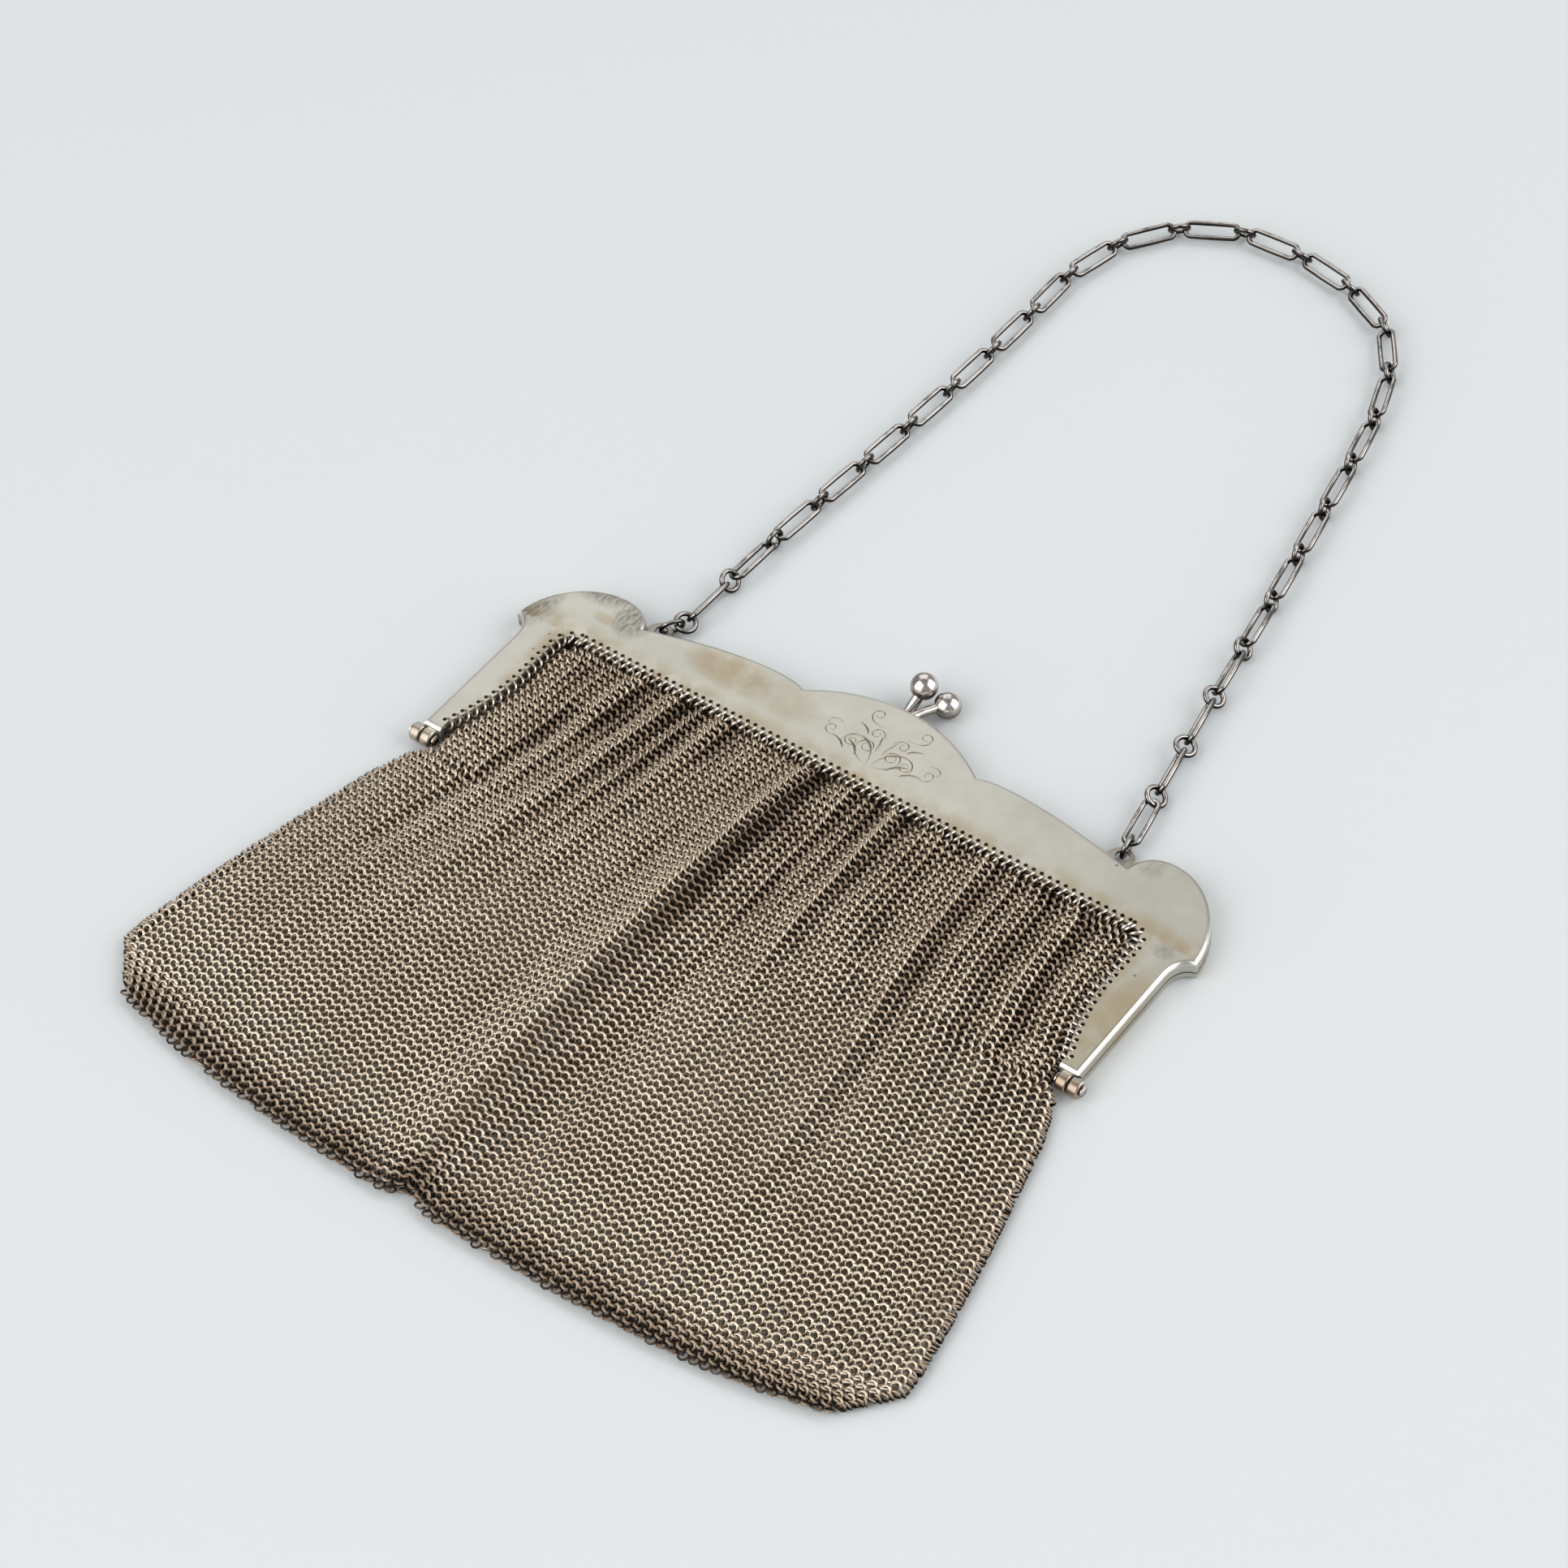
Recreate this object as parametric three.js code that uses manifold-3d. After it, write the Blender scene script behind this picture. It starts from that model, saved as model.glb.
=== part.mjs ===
// Metal mesh purse lying on its back: a two-part hinged frame with a ball clasp, a ring mesh bag and a chain.
// Millimetres. X runs along the frame, +Y from the bag towards the chain, +Z up from the surface it lies on.
// The hinge line is y = 0 while the pieces are made, and the whole purse is centred on its box at the end.
import * as THREE from "three";
import { mergeVertices } from "three/addons/utils/BufferGeometryUtils.js";
import Module from "manifold-3d";

const wasm = await Module();
wasm.setup();

// General fit
const GAP = 0.3; // running gap between separate pieces

// Frame halves, seen from the front
const FRAME_HALF_WIDTH = 75.2; // middle to the outer corner of a lobe
const ARM_HALF_WIDTH = 72; // middle to the outer edge of an arm
const FRAME_RISE = 52.5; // hinge line to the top of the middle bump
const LOBE_CORNER_RISE = 31.9; // hinge line to the outer corner of a lobe
const LOBE_RISE_LEFT = 46; // hinge line to the top of the left lobe
const LOBE_RISE_RIGHT = 49.1; // the right lobe is bent up a little higher
const LOBE_WIDTH = 22.2; // outer corner of a lobe in to the notch beside it
const BUMP_HALF_WIDTH = 19.3;
const NOTCH_DROP = 6.3; // top of the bump down to the notch beside it
const ARM_END = 0.5; // the arms stop this far above the hinge line
const MOUTH_RISE = 33; // hinge line to the inner top edge
const MOUTH_HALF_WIDTH = 64.3;
const MOUTH_CORNER = 4; // the inner corners are rounded over this length
const ARM_END_WIDTH = 3.9; // an arm narrows to this at the hinge
const FRONT_DEPTH = 2.4;
const BACK_DEPTH = 1.9;
const PLATE = 0.8;
const RIM_WALL = 0.9;
const EDGE_ROUND = 0.6;
const FRONT_SEAM = BACK_DEPTH + GAP;
const FRAME_THICKNESS = FRONT_SEAM + FRONT_DEPTH;

// How the outer outline curves, in shares. The shoulder runs from the bump to the lobe, and its rises are
// shares of the notch's drop. The lobe's are shares of its width and rise, and the neck's of the lobe corner's
// rise.
const SHOULDER = { nearRun: 0.12, nearRise: 0.35, farRun: 0.55, farRise: 0.13 };
const LOBE = {
  top: 0.32, notchDrop: 0.31, innerRun: 0.03, innerRise: 0.6, crestRun: 0.14, outerCrest: 0.5, outerRun: 0.02,
  outerRise: 0.53,
};
const NECK = { start: 0.975, end: 0.84 }; // from the lobe's corner in to the arm
// How an arm's inner edge widens upwards: rises are shares of the mouth's rise, the bow one of its half width
const ARM_TAPER = { startRise: 0.073, bowRise: 0.3, bow: 0.011, endRise: 0.55 };

// Hinges
const BARREL_RADIUS = 1.8;
const BARREL_DROP = 0.6; // the hinge axis lies this far below the hinge line
const KNUCKLE_LENGTH = 2.1;
const BARREL_OVERHANG = 1.4; // the outer knuckle stands this far past the arm
const PIN_RADIUS = 0.55;
const PIN_HEAD_RADIUS = 1.1;
const PIN_HEAD = 0.4;
const PIN_CROWN = { radius: 0.6, height: 0.4 }; // shares of a head, at its domed end
const BARREL_HEIGHT = FRAME_THICKNESS / 2;

// Ball clasp: one ball on each half, side by side, the back half's ball crossed over the front half's
const BALL_RADIUS = 2.6;
const BALL_REACH = 6.1; // ball centres past the top of the bump
const BALL_LIFT = 0.15; // the front half's ball clears the surface by this
const BALL_CLEARANCE = 0.36; // between the two balls
const STEM_RADIUS = 0.8;
const STEM_KNEE = 1.8; // a stem runs level this far past the bump
const SOLDER_DEPTH = 0.6; // how deep stems and lugs sink into the rim
const FRONT_BALL_X = 3.85;
const FRONT_STEM_X = 0.4;
const BACK_BALL_X = -1.3;
const BACK_STEM_X = -1.9;

// Chain lugs, soldered to the back half
const LUG_LEFT_X = -51.4;
const LUG_RIGHT_X = 49.7;
const LUG_WIDTH = 6;
const LUG_HEIGHT = 4.6;
const LUG_THICKNESS = 0.5;
const LUG_HOLE_RADIUS = 1.3;
const LUG_HOLE_RISE = 2.6;
const LUG_CURVE = { rise: 0.75, run: 0.6 }; // shares of its height and half width

// Chain
const WIRE = 1; // wire diameter of every link
const RING_OUTER = 4.8;
const OBLONG_WIDTH = 3.9;
const LINK_PITCH = 13.2; // one round and one oblong link, pulled straight
const WELD = 0.22; // how deep touching links sink into each other
const CHAIN_HEIGHT = 2.4;
const RING_LINE = (RING_OUTER - WIRE) / 2;

// Oval jump rings between the lugs and the chain
const JUMP_WIRE = 0.9;
const JUMP_WIDTH = 4.3;
const JUMP_STRETCH = 1; // an oval this much longer than wide
const JUMP_PLAY = 0.45; // between a jump ring's end and the link hooked in it
const JUMP_LIFT = 0.05; // a jump ring clears the surface by this
const JUMP_LEAN_LEFT = 105; // degrees, 90 stands on edge
const JUMP_LEAN_RIGHT = 98;
const JUMP_TURN_LEFT = 33.4; // degrees from +Y towards +X
const JUMP_TURN_RIGHT = -9.2;
const JUMP_LINE = (JUMP_WIDTH - JUMP_WIRE) / 2;
const JUMP_HEIGHT = JUMP_WIDTH / 2 + JUMP_LIFT;

// Bag
const BAG_HALF_WIDTH = 84.3;
const BAG_TOP_GAP = 0.5; // the bag's mouth ends this far inside the frame's inner edge
const BAG_SIDE_GAP = 0.6; // and its sides this far from the arms and hinges
const BAG_SPREAD = 3.4; // how steeply the sides may spread just below the hinges
const BAG_NOTCH = 1.8; // how far the main fold draws the bottom edge up
const BAG_LENGTH = 115;
const BAG_CORNER_LIFT = 7; // the bottom edge rises by this much towards its corners
const BAG_HEIGHT = 6.2;
const BAG_EDGE_HEIGHT = 2.2; // lowest that the front comes down to
const BAG_UNDERSIDE = 0.985; // the side that lies down is narrower by this share
const BAG_WALL = 1.1;
const BAG_SIDE_WALL = 1.6;
const BAG_MIN_ROOM = 0.3; // lowest inner height
const BAG_TOP = MOUTH_RISE - BAG_TOP_GAP;

// Rows of the bag from the mouth to the bottom: along is a share of the length, width of the half width,
// crown and side are shares of the height
const BAG_ROWS = [
  { along: 0, width: 0.71, crown: 0.63, side: 0.63 },
  { along: 0.035, width: 0.757, crown: 0.65, side: 0.63 },
  { along: 0.14, width: 0.765, crown: 0.83, side: 0.63 },
  { along: 0.2, width: 0.78, crown: 0.91, side: 0.61 },
  { along: 0.266, width: 0.8, crown: 0.97, side: 0.58 },
  { along: 0.33, width: 0.81, crown: 0.99, side: 0.5 },
  { along: 0.35, width: 0.838, crown: 1, side: 0.46 },
  { along: 0.426, width: 0.875, crown: 1, side: 0.42 },
  { along: 0.522, width: 0.904, crown: 0.98, side: 0.42 },
  { along: 0.65, width: 0.943, crown: 0.9, side: 0.42 },
  { along: 0.78, width: 0.976, crown: 0.76, side: 0.42 },
  { along: 0.88, width: 0.997, crown: 0.6, side: 0.41 },
  { along: 0.925, width: 1, crown: 0.52, side: 0.4 },
  { along: 1, width: 0.92, crown: 0.39, side: 0.38 },
];

// Main folds: across is a share of the row's half width, rise and breadth are shares of the bag's height and
// half width, and start and end are shares of its length
const FOLDS = [
  { across: -0.14, rise: 0.42, breadth: 0.075, start: 0.02, end: 1.02 },
  { across: 0.03, rise: -0.24, breadth: 0.07, start: 0.06, end: 0.95 },
  { across: -0.8, rise: -0.22, breadth: 0.06, start: 0.12, end: 0.55 },
  { across: -0.62, rise: 0.1, breadth: 0.08, start: 0.15, end: 0.6 },
  { across: 0.4, rise: -0.13, breadth: 0.05, start: 0.03, end: 0.3 },
  { across: 0.86, rise: -0.14, breadth: 0.05, start: 0.08, end: 0.36 },
];
const NOTCH_PLACE = { across: -0.09, breadth: 0.035 };
// Powers that shape the bag's roundness: its bottom corners, its notch and its sides
const ROUNDNESS = { corner: 3, notch: 6, side: 5 };

// The chain's route from the left lug ring, round the top and down to the right lug ring
const CHAIN_ROUTE = [
  [-47.9, 75.8], [-45.9, 102], [-44.2, 128.3], [-43.6, 154.6], [-43.7, 167.8], [-40.5, 180.7], [-32.8, 191],
  [-21, 197.1], [-7.4, 197.4], [6.1, 194.3], [17.3, 187.9], [24.2, 177.4], [28.3, 165], [33.4, 139],
  [38.1, 113.4], [42.6, 87.1],
];

// How the round links lean along the chain: 0 lies flat, 90 stands on edge
const CHAIN_LEAN = [
  { along: 0, lean: 22 }, { along: 0.08, lean: 33 }, { along: 0.2, lean: 115 },
  { along: 0.5, lean: 125 }, { along: 0.75, lean: 100 }, { along: 0.82, lean: 112 },
  { along: 0.9, lean: 156 }, { along: 0.96, lean: 150 }, { along: 1, lean: 46 },
];

const QUARTER_TURN = 90; // each oblong link stands across the round links beside it, in degrees

// Facets
const CURVE_STEPS = 4;
const BARREL_SIDES = 12;
const BALL_SIDES = 14;
const STEM_STEPS = 5;
const LINK_STEPS = 10;
const WIRE_SIDES = 5;
const FRONT_COLUMNS = 25;
const UNDERSIDE_COLUMNS = 9;
const HOLLOW_COLUMNS = 11;
const HOLLOW_FLOOR_COLUMNS = 5;
const COLUMN_CROWDING = 0.2; // how much closer together the columns are at the sides

const silver = (color, roughness) => new THREE.MeshStandardMaterial({ color, roughness, metalness: 1 });
const platedSilver = silver(0xc3bfb2, 0.38);
const brightSilver = silver(0xd2cec6, 0.25);
const chainSilver = silver(0x8d867e, 0.35);
const meshSilver = silver(0xa79b8a, 0.4);

// A closed geometry as a solid that can be joined and cut
function solid(geometry) {
  const bare = geometry.index ? geometry.toNonIndexed() : geometry.clone();
  bare.deleteAttribute("normal");
  bare.deleteAttribute("uv");
  const merged = mergeVertices(bare, 1e-4);
  return new wasm.Manifold(new wasm.Mesh({
    numProp: 3,
    vertProperties: new Float32Array(merged.attributes.position.array),
    triVerts: new Uint32Array(merged.index.array),
  }));
}

function geometryOf(body) {
  const { vertProperties, triVerts } = body.getMesh();
  const geometry = new THREE.BufferGeometry();
  geometry.setAttribute("position", new THREE.BufferAttribute(new Float32Array(vertProperties), 3));
  geometry.setIndex(new THREE.BufferAttribute(new Uint32Array(triVerts), 1));
  return geometry;
}

function named(name, geometry, material) {
  geometry.computeVertexNormals();
  const mesh = new THREE.Mesh(geometry, material.clone());
  mesh.name = name;
  return mesh;
}

const join = (...bodies) => bodies.reduce((whole, body) => whole.add(body));
const cut = (body, ...tools) => tools.reduce((rest, tool) => rest.subtract(tool), body);

// A flat outline raised from low to high, with its outer edges rounded at both ends where asked
function slab(points, low, high, round = 0) {
  const geometry = new THREE.ExtrudeGeometry(new THREE.Shape(points), {
    depth: high - low - 2 * round,
    bevelEnabled: round > 0,
    bevelThickness: round,
    bevelSize: round,
    bevelOffset: -round,
    bevelSegments: 2,
    steps: 1,
  });
  return solid(geometry.translate(0, 0, low + round));
}

function rod(from, to, radius, sides) {
  const axis = new THREE.Vector3().subVectors(to, from);
  const direction = axis.clone().normalize();
  const turn = new THREE.Quaternion().setFromUnitVectors(new THREE.Vector3(0, 1, 0), direction);
  const middle = new THREE.Vector3().addVectors(from, to).multiplyScalar(0.5);
  const geometry = new THREE.CylinderGeometry(radius, radius, axis.length(), sides);
  return solid(geometry.applyQuaternion(turn).translate(middle.x, middle.y, middle.z));
}

// Value of a table's column at a place along it, with straight lines between its rows
function tableAt(rows, along, column) {
  const last = rows.length - 1;
  if (along <= rows[0].along) return rows[0][column];
  if (along >= rows[last].along) return rows[last][column];
  const next = rows.findIndex((row) => row.along > along);
  const share = (along - rows[next - 1].along) / (rows[next].along - rows[next - 1].along);
  return THREE.MathUtils.lerp(rows[next - 1][column], rows[next][column], share);
}

// Outer outline of one side, from the top of the bump round the lobe to the end of the arm, with x positive
function sideOutline(lobeRise) {
  const notch = FRAME_RISE - NOTCH_DROP;
  const bumpRadius = (BUMP_HALF_WIDTH ** 2 + NOTCH_DROP ** 2) / (2 * NOTCH_DROP);
  const half = Math.asin(BUMP_HALF_WIDTH / bumpRadius);
  const lobeNotchX = FRAME_HALF_WIDTH - LOBE_WIDTH;
  const lobeNotchY = lobeRise - (lobeRise - LOBE_CORNER_RISE) * LOBE.notchDrop;
  const lobeTopX = lobeNotchX + LOBE_WIDTH * LOBE.top;
  const shoulderX = (run) => THREE.MathUtils.lerp(BUMP_HALF_WIDTH, lobeNotchX, run);
  const side = new THREE.Path();
  side.absarc(0, FRAME_RISE - bumpRadius, bumpRadius, Math.PI / 2, Math.PI / 2 - half, true);
  side.bezierCurveTo(
    shoulderX(SHOULDER.nearRun), notch + NOTCH_DROP * SHOULDER.nearRise,
    shoulderX(SHOULDER.farRun), notch + NOTCH_DROP * SHOULDER.farRise,
    lobeNotchX, lobeNotchY,
  );
  side.bezierCurveTo(
    lobeNotchX + LOBE_WIDTH * LOBE.innerRun, THREE.MathUtils.lerp(lobeNotchY, lobeRise, LOBE.innerRise),
    lobeNotchX + LOBE_WIDTH * LOBE.crestRun, lobeRise,
    lobeTopX, lobeRise,
  );
  side.bezierCurveTo(
    THREE.MathUtils.lerp(lobeTopX, FRAME_HALF_WIDTH, LOBE.outerCrest), lobeRise,
    FRAME_HALF_WIDTH - LOBE_WIDTH * LOBE.outerRun,
    THREE.MathUtils.lerp(LOBE_CORNER_RISE, lobeRise, LOBE.outerRise),
    FRAME_HALF_WIDTH, LOBE_CORNER_RISE,
  );
  side.quadraticCurveTo(
    ARM_HALF_WIDTH, LOBE_CORNER_RISE * NECK.start,
    ARM_HALF_WIDTH, LOBE_CORNER_RISE * NECK.end,
  );
  side.lineTo(ARM_HALF_WIDTH, ARM_END);
  return side.getPoints(CURVE_STEPS);
}

// The whole outer outline, straight across between the arm ends
function frameOutline() {
  const right = sideOutline(LOBE_RISE_RIGHT);
  const left = sideOutline(LOBE_RISE_LEFT).map((p) => new THREE.Vector2(-p.x, p.y));
  return [...left.reverse(), ...right.slice(1)];
}

// The outline moved inwards by the rim's wall
function insetOutline(points, distance) {
  return points.map((point, i) => {
    const before = points[(i + points.length - 1) % points.length];
    const after = points[(i + 1) % points.length];
    const a = new THREE.Vector2().subVectors(point, before).normalize();
    const b = new THREE.Vector2().subVectors(after, point).normalize();
    const middle = new THREE.Vector2().addVectors(a, b).normalize();
    const reach = distance / Math.max(0.5, middle.dot(a));
    return new THREE.Vector2(point.x + middle.y * reach, point.y - middle.x * reach);
  });
}

// Inner edge of the plates, round the bag's mouth, carried on below the arm ends
function mouthOutline() {
  const armInner = ARM_HALF_WIDTH - ARM_END_WIDTH;
  const below = ARM_END - 3 * BARREL_RADIUS;
  const mouth = new THREE.Path();
  mouth.moveTo(armInner, below);
  mouth.lineTo(armInner, ARM_END + MOUTH_RISE * ARM_TAPER.startRise);
  mouth.quadraticCurveTo(
    MOUTH_HALF_WIDTH * (1 + ARM_TAPER.bow), MOUTH_RISE * ARM_TAPER.bowRise,
    MOUTH_HALF_WIDTH, MOUTH_RISE * ARM_TAPER.endRise,
  );
  mouth.lineTo(MOUTH_HALF_WIDTH, MOUTH_RISE - MOUTH_CORNER);
  mouth.quadraticCurveTo(MOUTH_HALF_WIDTH, MOUTH_RISE, MOUTH_HALF_WIDTH - MOUTH_CORNER, MOUTH_RISE);
  const right = mouth.getPoints(CURVE_STEPS);
  return [...right, ...right.map((p) => new THREE.Vector2(-p.x, p.y)).reverse()];
}

// One plate with its rim, between two heights, with its face above or below
function frameShell(low, high, faceUp) {
  const outline = frameOutline();
  const spare = high - low + 2 * EDGE_ROUND;
  const block = faceUp
    ? slab(outline, low - spare, high, EDGE_ROUND)
    : slab(outline, low, high + spare, EDGE_ROUND);
  const seam = new THREE.BoxGeometry(3 * FRAME_HALF_WIDTH, 3 * FRAME_HALF_WIDTH, 2 * spare);
  seam.translate(0, 0, faceUp ? low - spare : high + spare);
  const inner = insetOutline(outline, RIM_WALL);
  const pocket = faceUp ? slab(inner, low - spare, high - PLATE) : slab(inner, low + PLATE, high + spare);
  const mouth = slab(mouthOutline(), low - spare, high + spare);
  return cut(block, solid(seam), pocket, mouth);
}

// Hinge places from the middle outwards: head room for the pin, inner knuckle, gap, outer knuckle
const knuckleOuterEnd = ARM_HALF_WIDTH + BARREL_OVERHANG;
const knuckleOuterStart = knuckleOuterEnd - KNUCKLE_LENGTH;
const knuckleInnerEnd = knuckleOuterStart - GAP;
const knuckleInnerStart = knuckleInnerEnd - KNUCKLE_LENGTH;
const headRoomStart = knuckleInnerStart - PIN_HEAD - 2 * GAP;

function barrelRod(side, start, end, radius) {
  const at = (x) => new THREE.Vector3(side * x, -BARREL_DROP, BARREL_HEIGHT);
  return rod(at(start), at(end), radius, BARREL_SIDES);
}

// Gives one half its own knuckles, and room for the other half's
function addKnuckles(shell, ownStart, ownEnd, otherStart, otherEnd) {
  let body = shell;
  for (const side of [-1, 1]) {
    const room = barrelRod(side, otherStart - GAP, otherEnd + GAP, BARREL_RADIUS + GAP);
    const knuckle = barrelRod(side, ownStart, ownEnd, BARREL_RADIUS);
    const bore = barrelRod(side, headRoomStart, knuckleOuterEnd + KNUCKLE_LENGTH, PIN_RADIUS + GAP);
    const headRoom = barrelRod(side, headRoomStart, knuckleInnerStart, PIN_HEAD_RADIUS + GAP);
    body = cut(join(cut(body, room), knuckle), bore, headRoom);
  }
  return body;
}

function hingePin(side) {
  const half = (knuckleOuterEnd - knuckleInnerStart) / 2 + GAP;
  const end = half + PIN_HEAD;
  const shoulder = half + PIN_HEAD * PIN_CROWN.height;
  const crown = PIN_HEAD_RADIUS * PIN_CROWN.radius;
  const profile = [
    [0, -end], [crown, -end], [PIN_HEAD_RADIUS, -shoulder], [PIN_HEAD_RADIUS, -half], [PIN_RADIUS, -half],
    [PIN_RADIUS, half], [PIN_HEAD_RADIUS, half], [PIN_HEAD_RADIUS, shoulder], [crown, end], [0, end],
  ].map(([r, h]) => new THREE.Vector2(r, h));
  const pin = named(
    side < 0 ? "hinge_pin_left" : "hinge_pin_right",
    geometryOf(solid(new THREE.LatheGeometry(profile, BARREL_SIDES))),
    brightSilver,
  );
  pin.rotation.z = Math.PI / 2;
  pin.position.set(side * (knuckleInnerStart + knuckleOuterEnd) / 2, -BARREL_DROP, BARREL_HEIGHT);
  return pin;
}

// A ball on a stem that leaves the rim level and then bends to the ball
function ballOnStem(stemX, stemHeight, ballX, ballHeight) {
  const root = new THREE.Vector3(stemX, FRAME_RISE - SOLDER_DEPTH, stemHeight);
  const knee = new THREE.Vector3(stemX, FRAME_RISE + STEM_KNEE, stemHeight);
  const centre = new THREE.Vector3(ballX, FRAME_RISE + BALL_REACH, ballHeight);
  const section = new THREE.Shape();
  section.absarc(0, 0, STEM_RADIUS, 0, 2 * Math.PI, false);
  const stem = new THREE.ExtrudeGeometry(section, {
    extrudePath: new THREE.QuadraticBezierCurve3(root, knee, centre),
    steps: STEM_STEPS,
    curveSegments: CURVE_STEPS,
    bevelEnabled: false,
  });
  const ball = new THREE.SphereGeometry(BALL_RADIUS, BALL_SIDES, BALL_SIDES / 2);
  return join(solid(stem), solid(ball.translate(centre.x, centre.y, centre.z)));
}

// Height of the outline's top edge at a place along the frame
function rimAt(x) {
  const points = frameOutline();
  const next = points.findIndex((p, i) => i > 0 && points[i - 1].x <= x && p.x > x && p.y > LOBE_CORNER_RISE);
  const a = points[next - 1];
  const b = points[next];
  return THREE.MathUtils.lerp(a.y, b.y, (x - a.x) / (b.x - a.x));
}

// A flat ear with a hole, soldered to the back half's rim
function lug(x) {
  const root = rimAt(x) - SOLDER_DEPTH;
  const top = rimAt(x) + LUG_HEIGHT;
  const half = LUG_WIDTH / 2;
  const sideRise = THREE.MathUtils.lerp(root, top, LUG_CURVE.rise);
  const topRun = half * LUG_CURVE.run;
  const shape = new THREE.Shape();
  shape.moveTo(x - half, root);
  shape.lineTo(x + half, root);
  shape.bezierCurveTo(x + half, sideRise, x + topRun, top, x, top);
  shape.bezierCurveTo(x - topRun, top, x - half, sideRise, x - half, root);
  const hole = new THREE.Path();
  hole.absarc(x, rimAt(x) + LUG_HOLE_RISE, LUG_HOLE_RADIUS, 0, 2 * Math.PI, true);
  shape.holes.push(hole);
  const geometry = new THREE.ExtrudeGeometry(shape, {
    depth: LUG_THICKNESS,
    bevelEnabled: false,
    curveSegments: CURVE_STEPS,
  });
  return solid(geometry.translate(0, 0, BACK_DEPTH - LUG_THICKNESS));
}

// The front half's ball lies just off the surface, and the back half's clears it
const frontBallHeight = BALL_RADIUS + BALL_LIFT;
const ballSpread = FRONT_BALL_X - BACK_BALL_X;
const ballCrossing = Math.sqrt(Math.max(0, (2 * BALL_RADIUS + BALL_CLEARANCE) ** 2 - ballSpread ** 2));

function frameFront() {
  const shell = frameShell(FRONT_SEAM, FRAME_THICKNESS, true);
  const hinged = addKnuckles(shell, knuckleInnerStart, knuckleInnerEnd, knuckleOuterStart, knuckleOuterEnd);
  const ball = ballOnStem(FRONT_STEM_X, FRONT_SEAM + FRONT_DEPTH / 2, FRONT_BALL_X, frontBallHeight);
  return named("frame_front", geometryOf(join(hinged, ball)), platedSilver);
}

function frameBack() {
  const shell = frameShell(0, BACK_DEPTH, false);
  const hinged = addKnuckles(shell, knuckleOuterStart, knuckleOuterEnd, knuckleInnerStart, knuckleInnerEnd);
  const ball = ballOnStem(BACK_STEM_X, BACK_DEPTH / 2, BACK_BALL_X, frontBallHeight + ballCrossing);
  return named("frame_back", geometryOf(join(hinged, ball, lug(LUG_LEFT_X), lug(LUG_RIGHT_X))), platedSilver);
}

// A closed wire loop lying flat about the origin, its ends pulled apart along X
function wireLoop(lineRadius, stretch, wire = WIRE) {
  const geometry = new THREE.TorusGeometry(lineRadius, wire / 2, WIRE_SIDES, LINK_STEPS);
  if (LINK_STEPS % 4 === 0) geometry.rotateZ(Math.PI / LINK_STEPS);
  const position = geometry.attributes.position;
  for (let i = 0; i < position.count; i++) {
    position.setX(i, position.getX(i) + Math.sign(position.getX(i)) * stretch / 2);
  }
  return geometry;
}

// Turns a loop so that its X runs along a direction and its face leans sideways, and moves it into place
function placeLoop(geometry, place, direction, lean) {
  const along = direction.clone().normalize();
  const up = new THREE.Vector3(0, 0, 1);
  const side = new THREE.Vector3().crossVectors(along, up).normalize();
  const angle = THREE.MathUtils.degToRad(lean);
  const face = up.multiplyScalar(Math.cos(angle)).addScaledVector(side, Math.sin(angle));
  const across = new THREE.Vector3().crossVectors(face, along);
  return geometry.applyMatrix4(new THREE.Matrix4().makeBasis(along, across, face).setPosition(place));
}

// The jump rings stand in the lugs' holes and point towards the chain
const lugHole = (x) => new THREE.Vector3(x, rimAt(x) + LUG_HOLE_RISE, JUMP_HEIGHT);
const lugDrop = JUMP_HEIGHT - BACK_DEPTH + LUG_THICKNESS / 2;
const jumpSeat = JUMP_STRETCH / 2 + Math.sqrt(JUMP_LINE ** 2 - lugDrop ** 2);
// From a jump ring's centre to the wire line of the link hooked in its far end
const jumpHook = JUMP_STRETCH / 2 + JUMP_LINE - (JUMP_WIRE + WIRE) / 2 - JUMP_PLAY;
const heading = (turn) => new THREE.Vector3(0, 1, 0).applyAxisAngle(
  new THREE.Vector3(0, 0, -1), THREE.MathUtils.degToRad(turn),
);
const leftOut = heading(JUMP_TURN_LEFT);
const rightOut = heading(JUMP_TURN_RIGHT);
const leftRingCentre = lugHole(LUG_LEFT_X).addScaledVector(leftOut, jumpSeat);
const rightRingCentre = lugHole(LUG_RIGHT_X).addScaledVector(rightOut, jumpSeat);

function lugRing(name, centre, direction, lean) {
  const ring = placeLoop(wireLoop(JUMP_LINE, JUMP_STRETCH, JUMP_WIRE), new THREE.Vector3(), direction, lean);
  const mesh = named(name, geometryOf(solid(ring)), chainSilver);
  mesh.position.copy(centre);
  return mesh;
}

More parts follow.
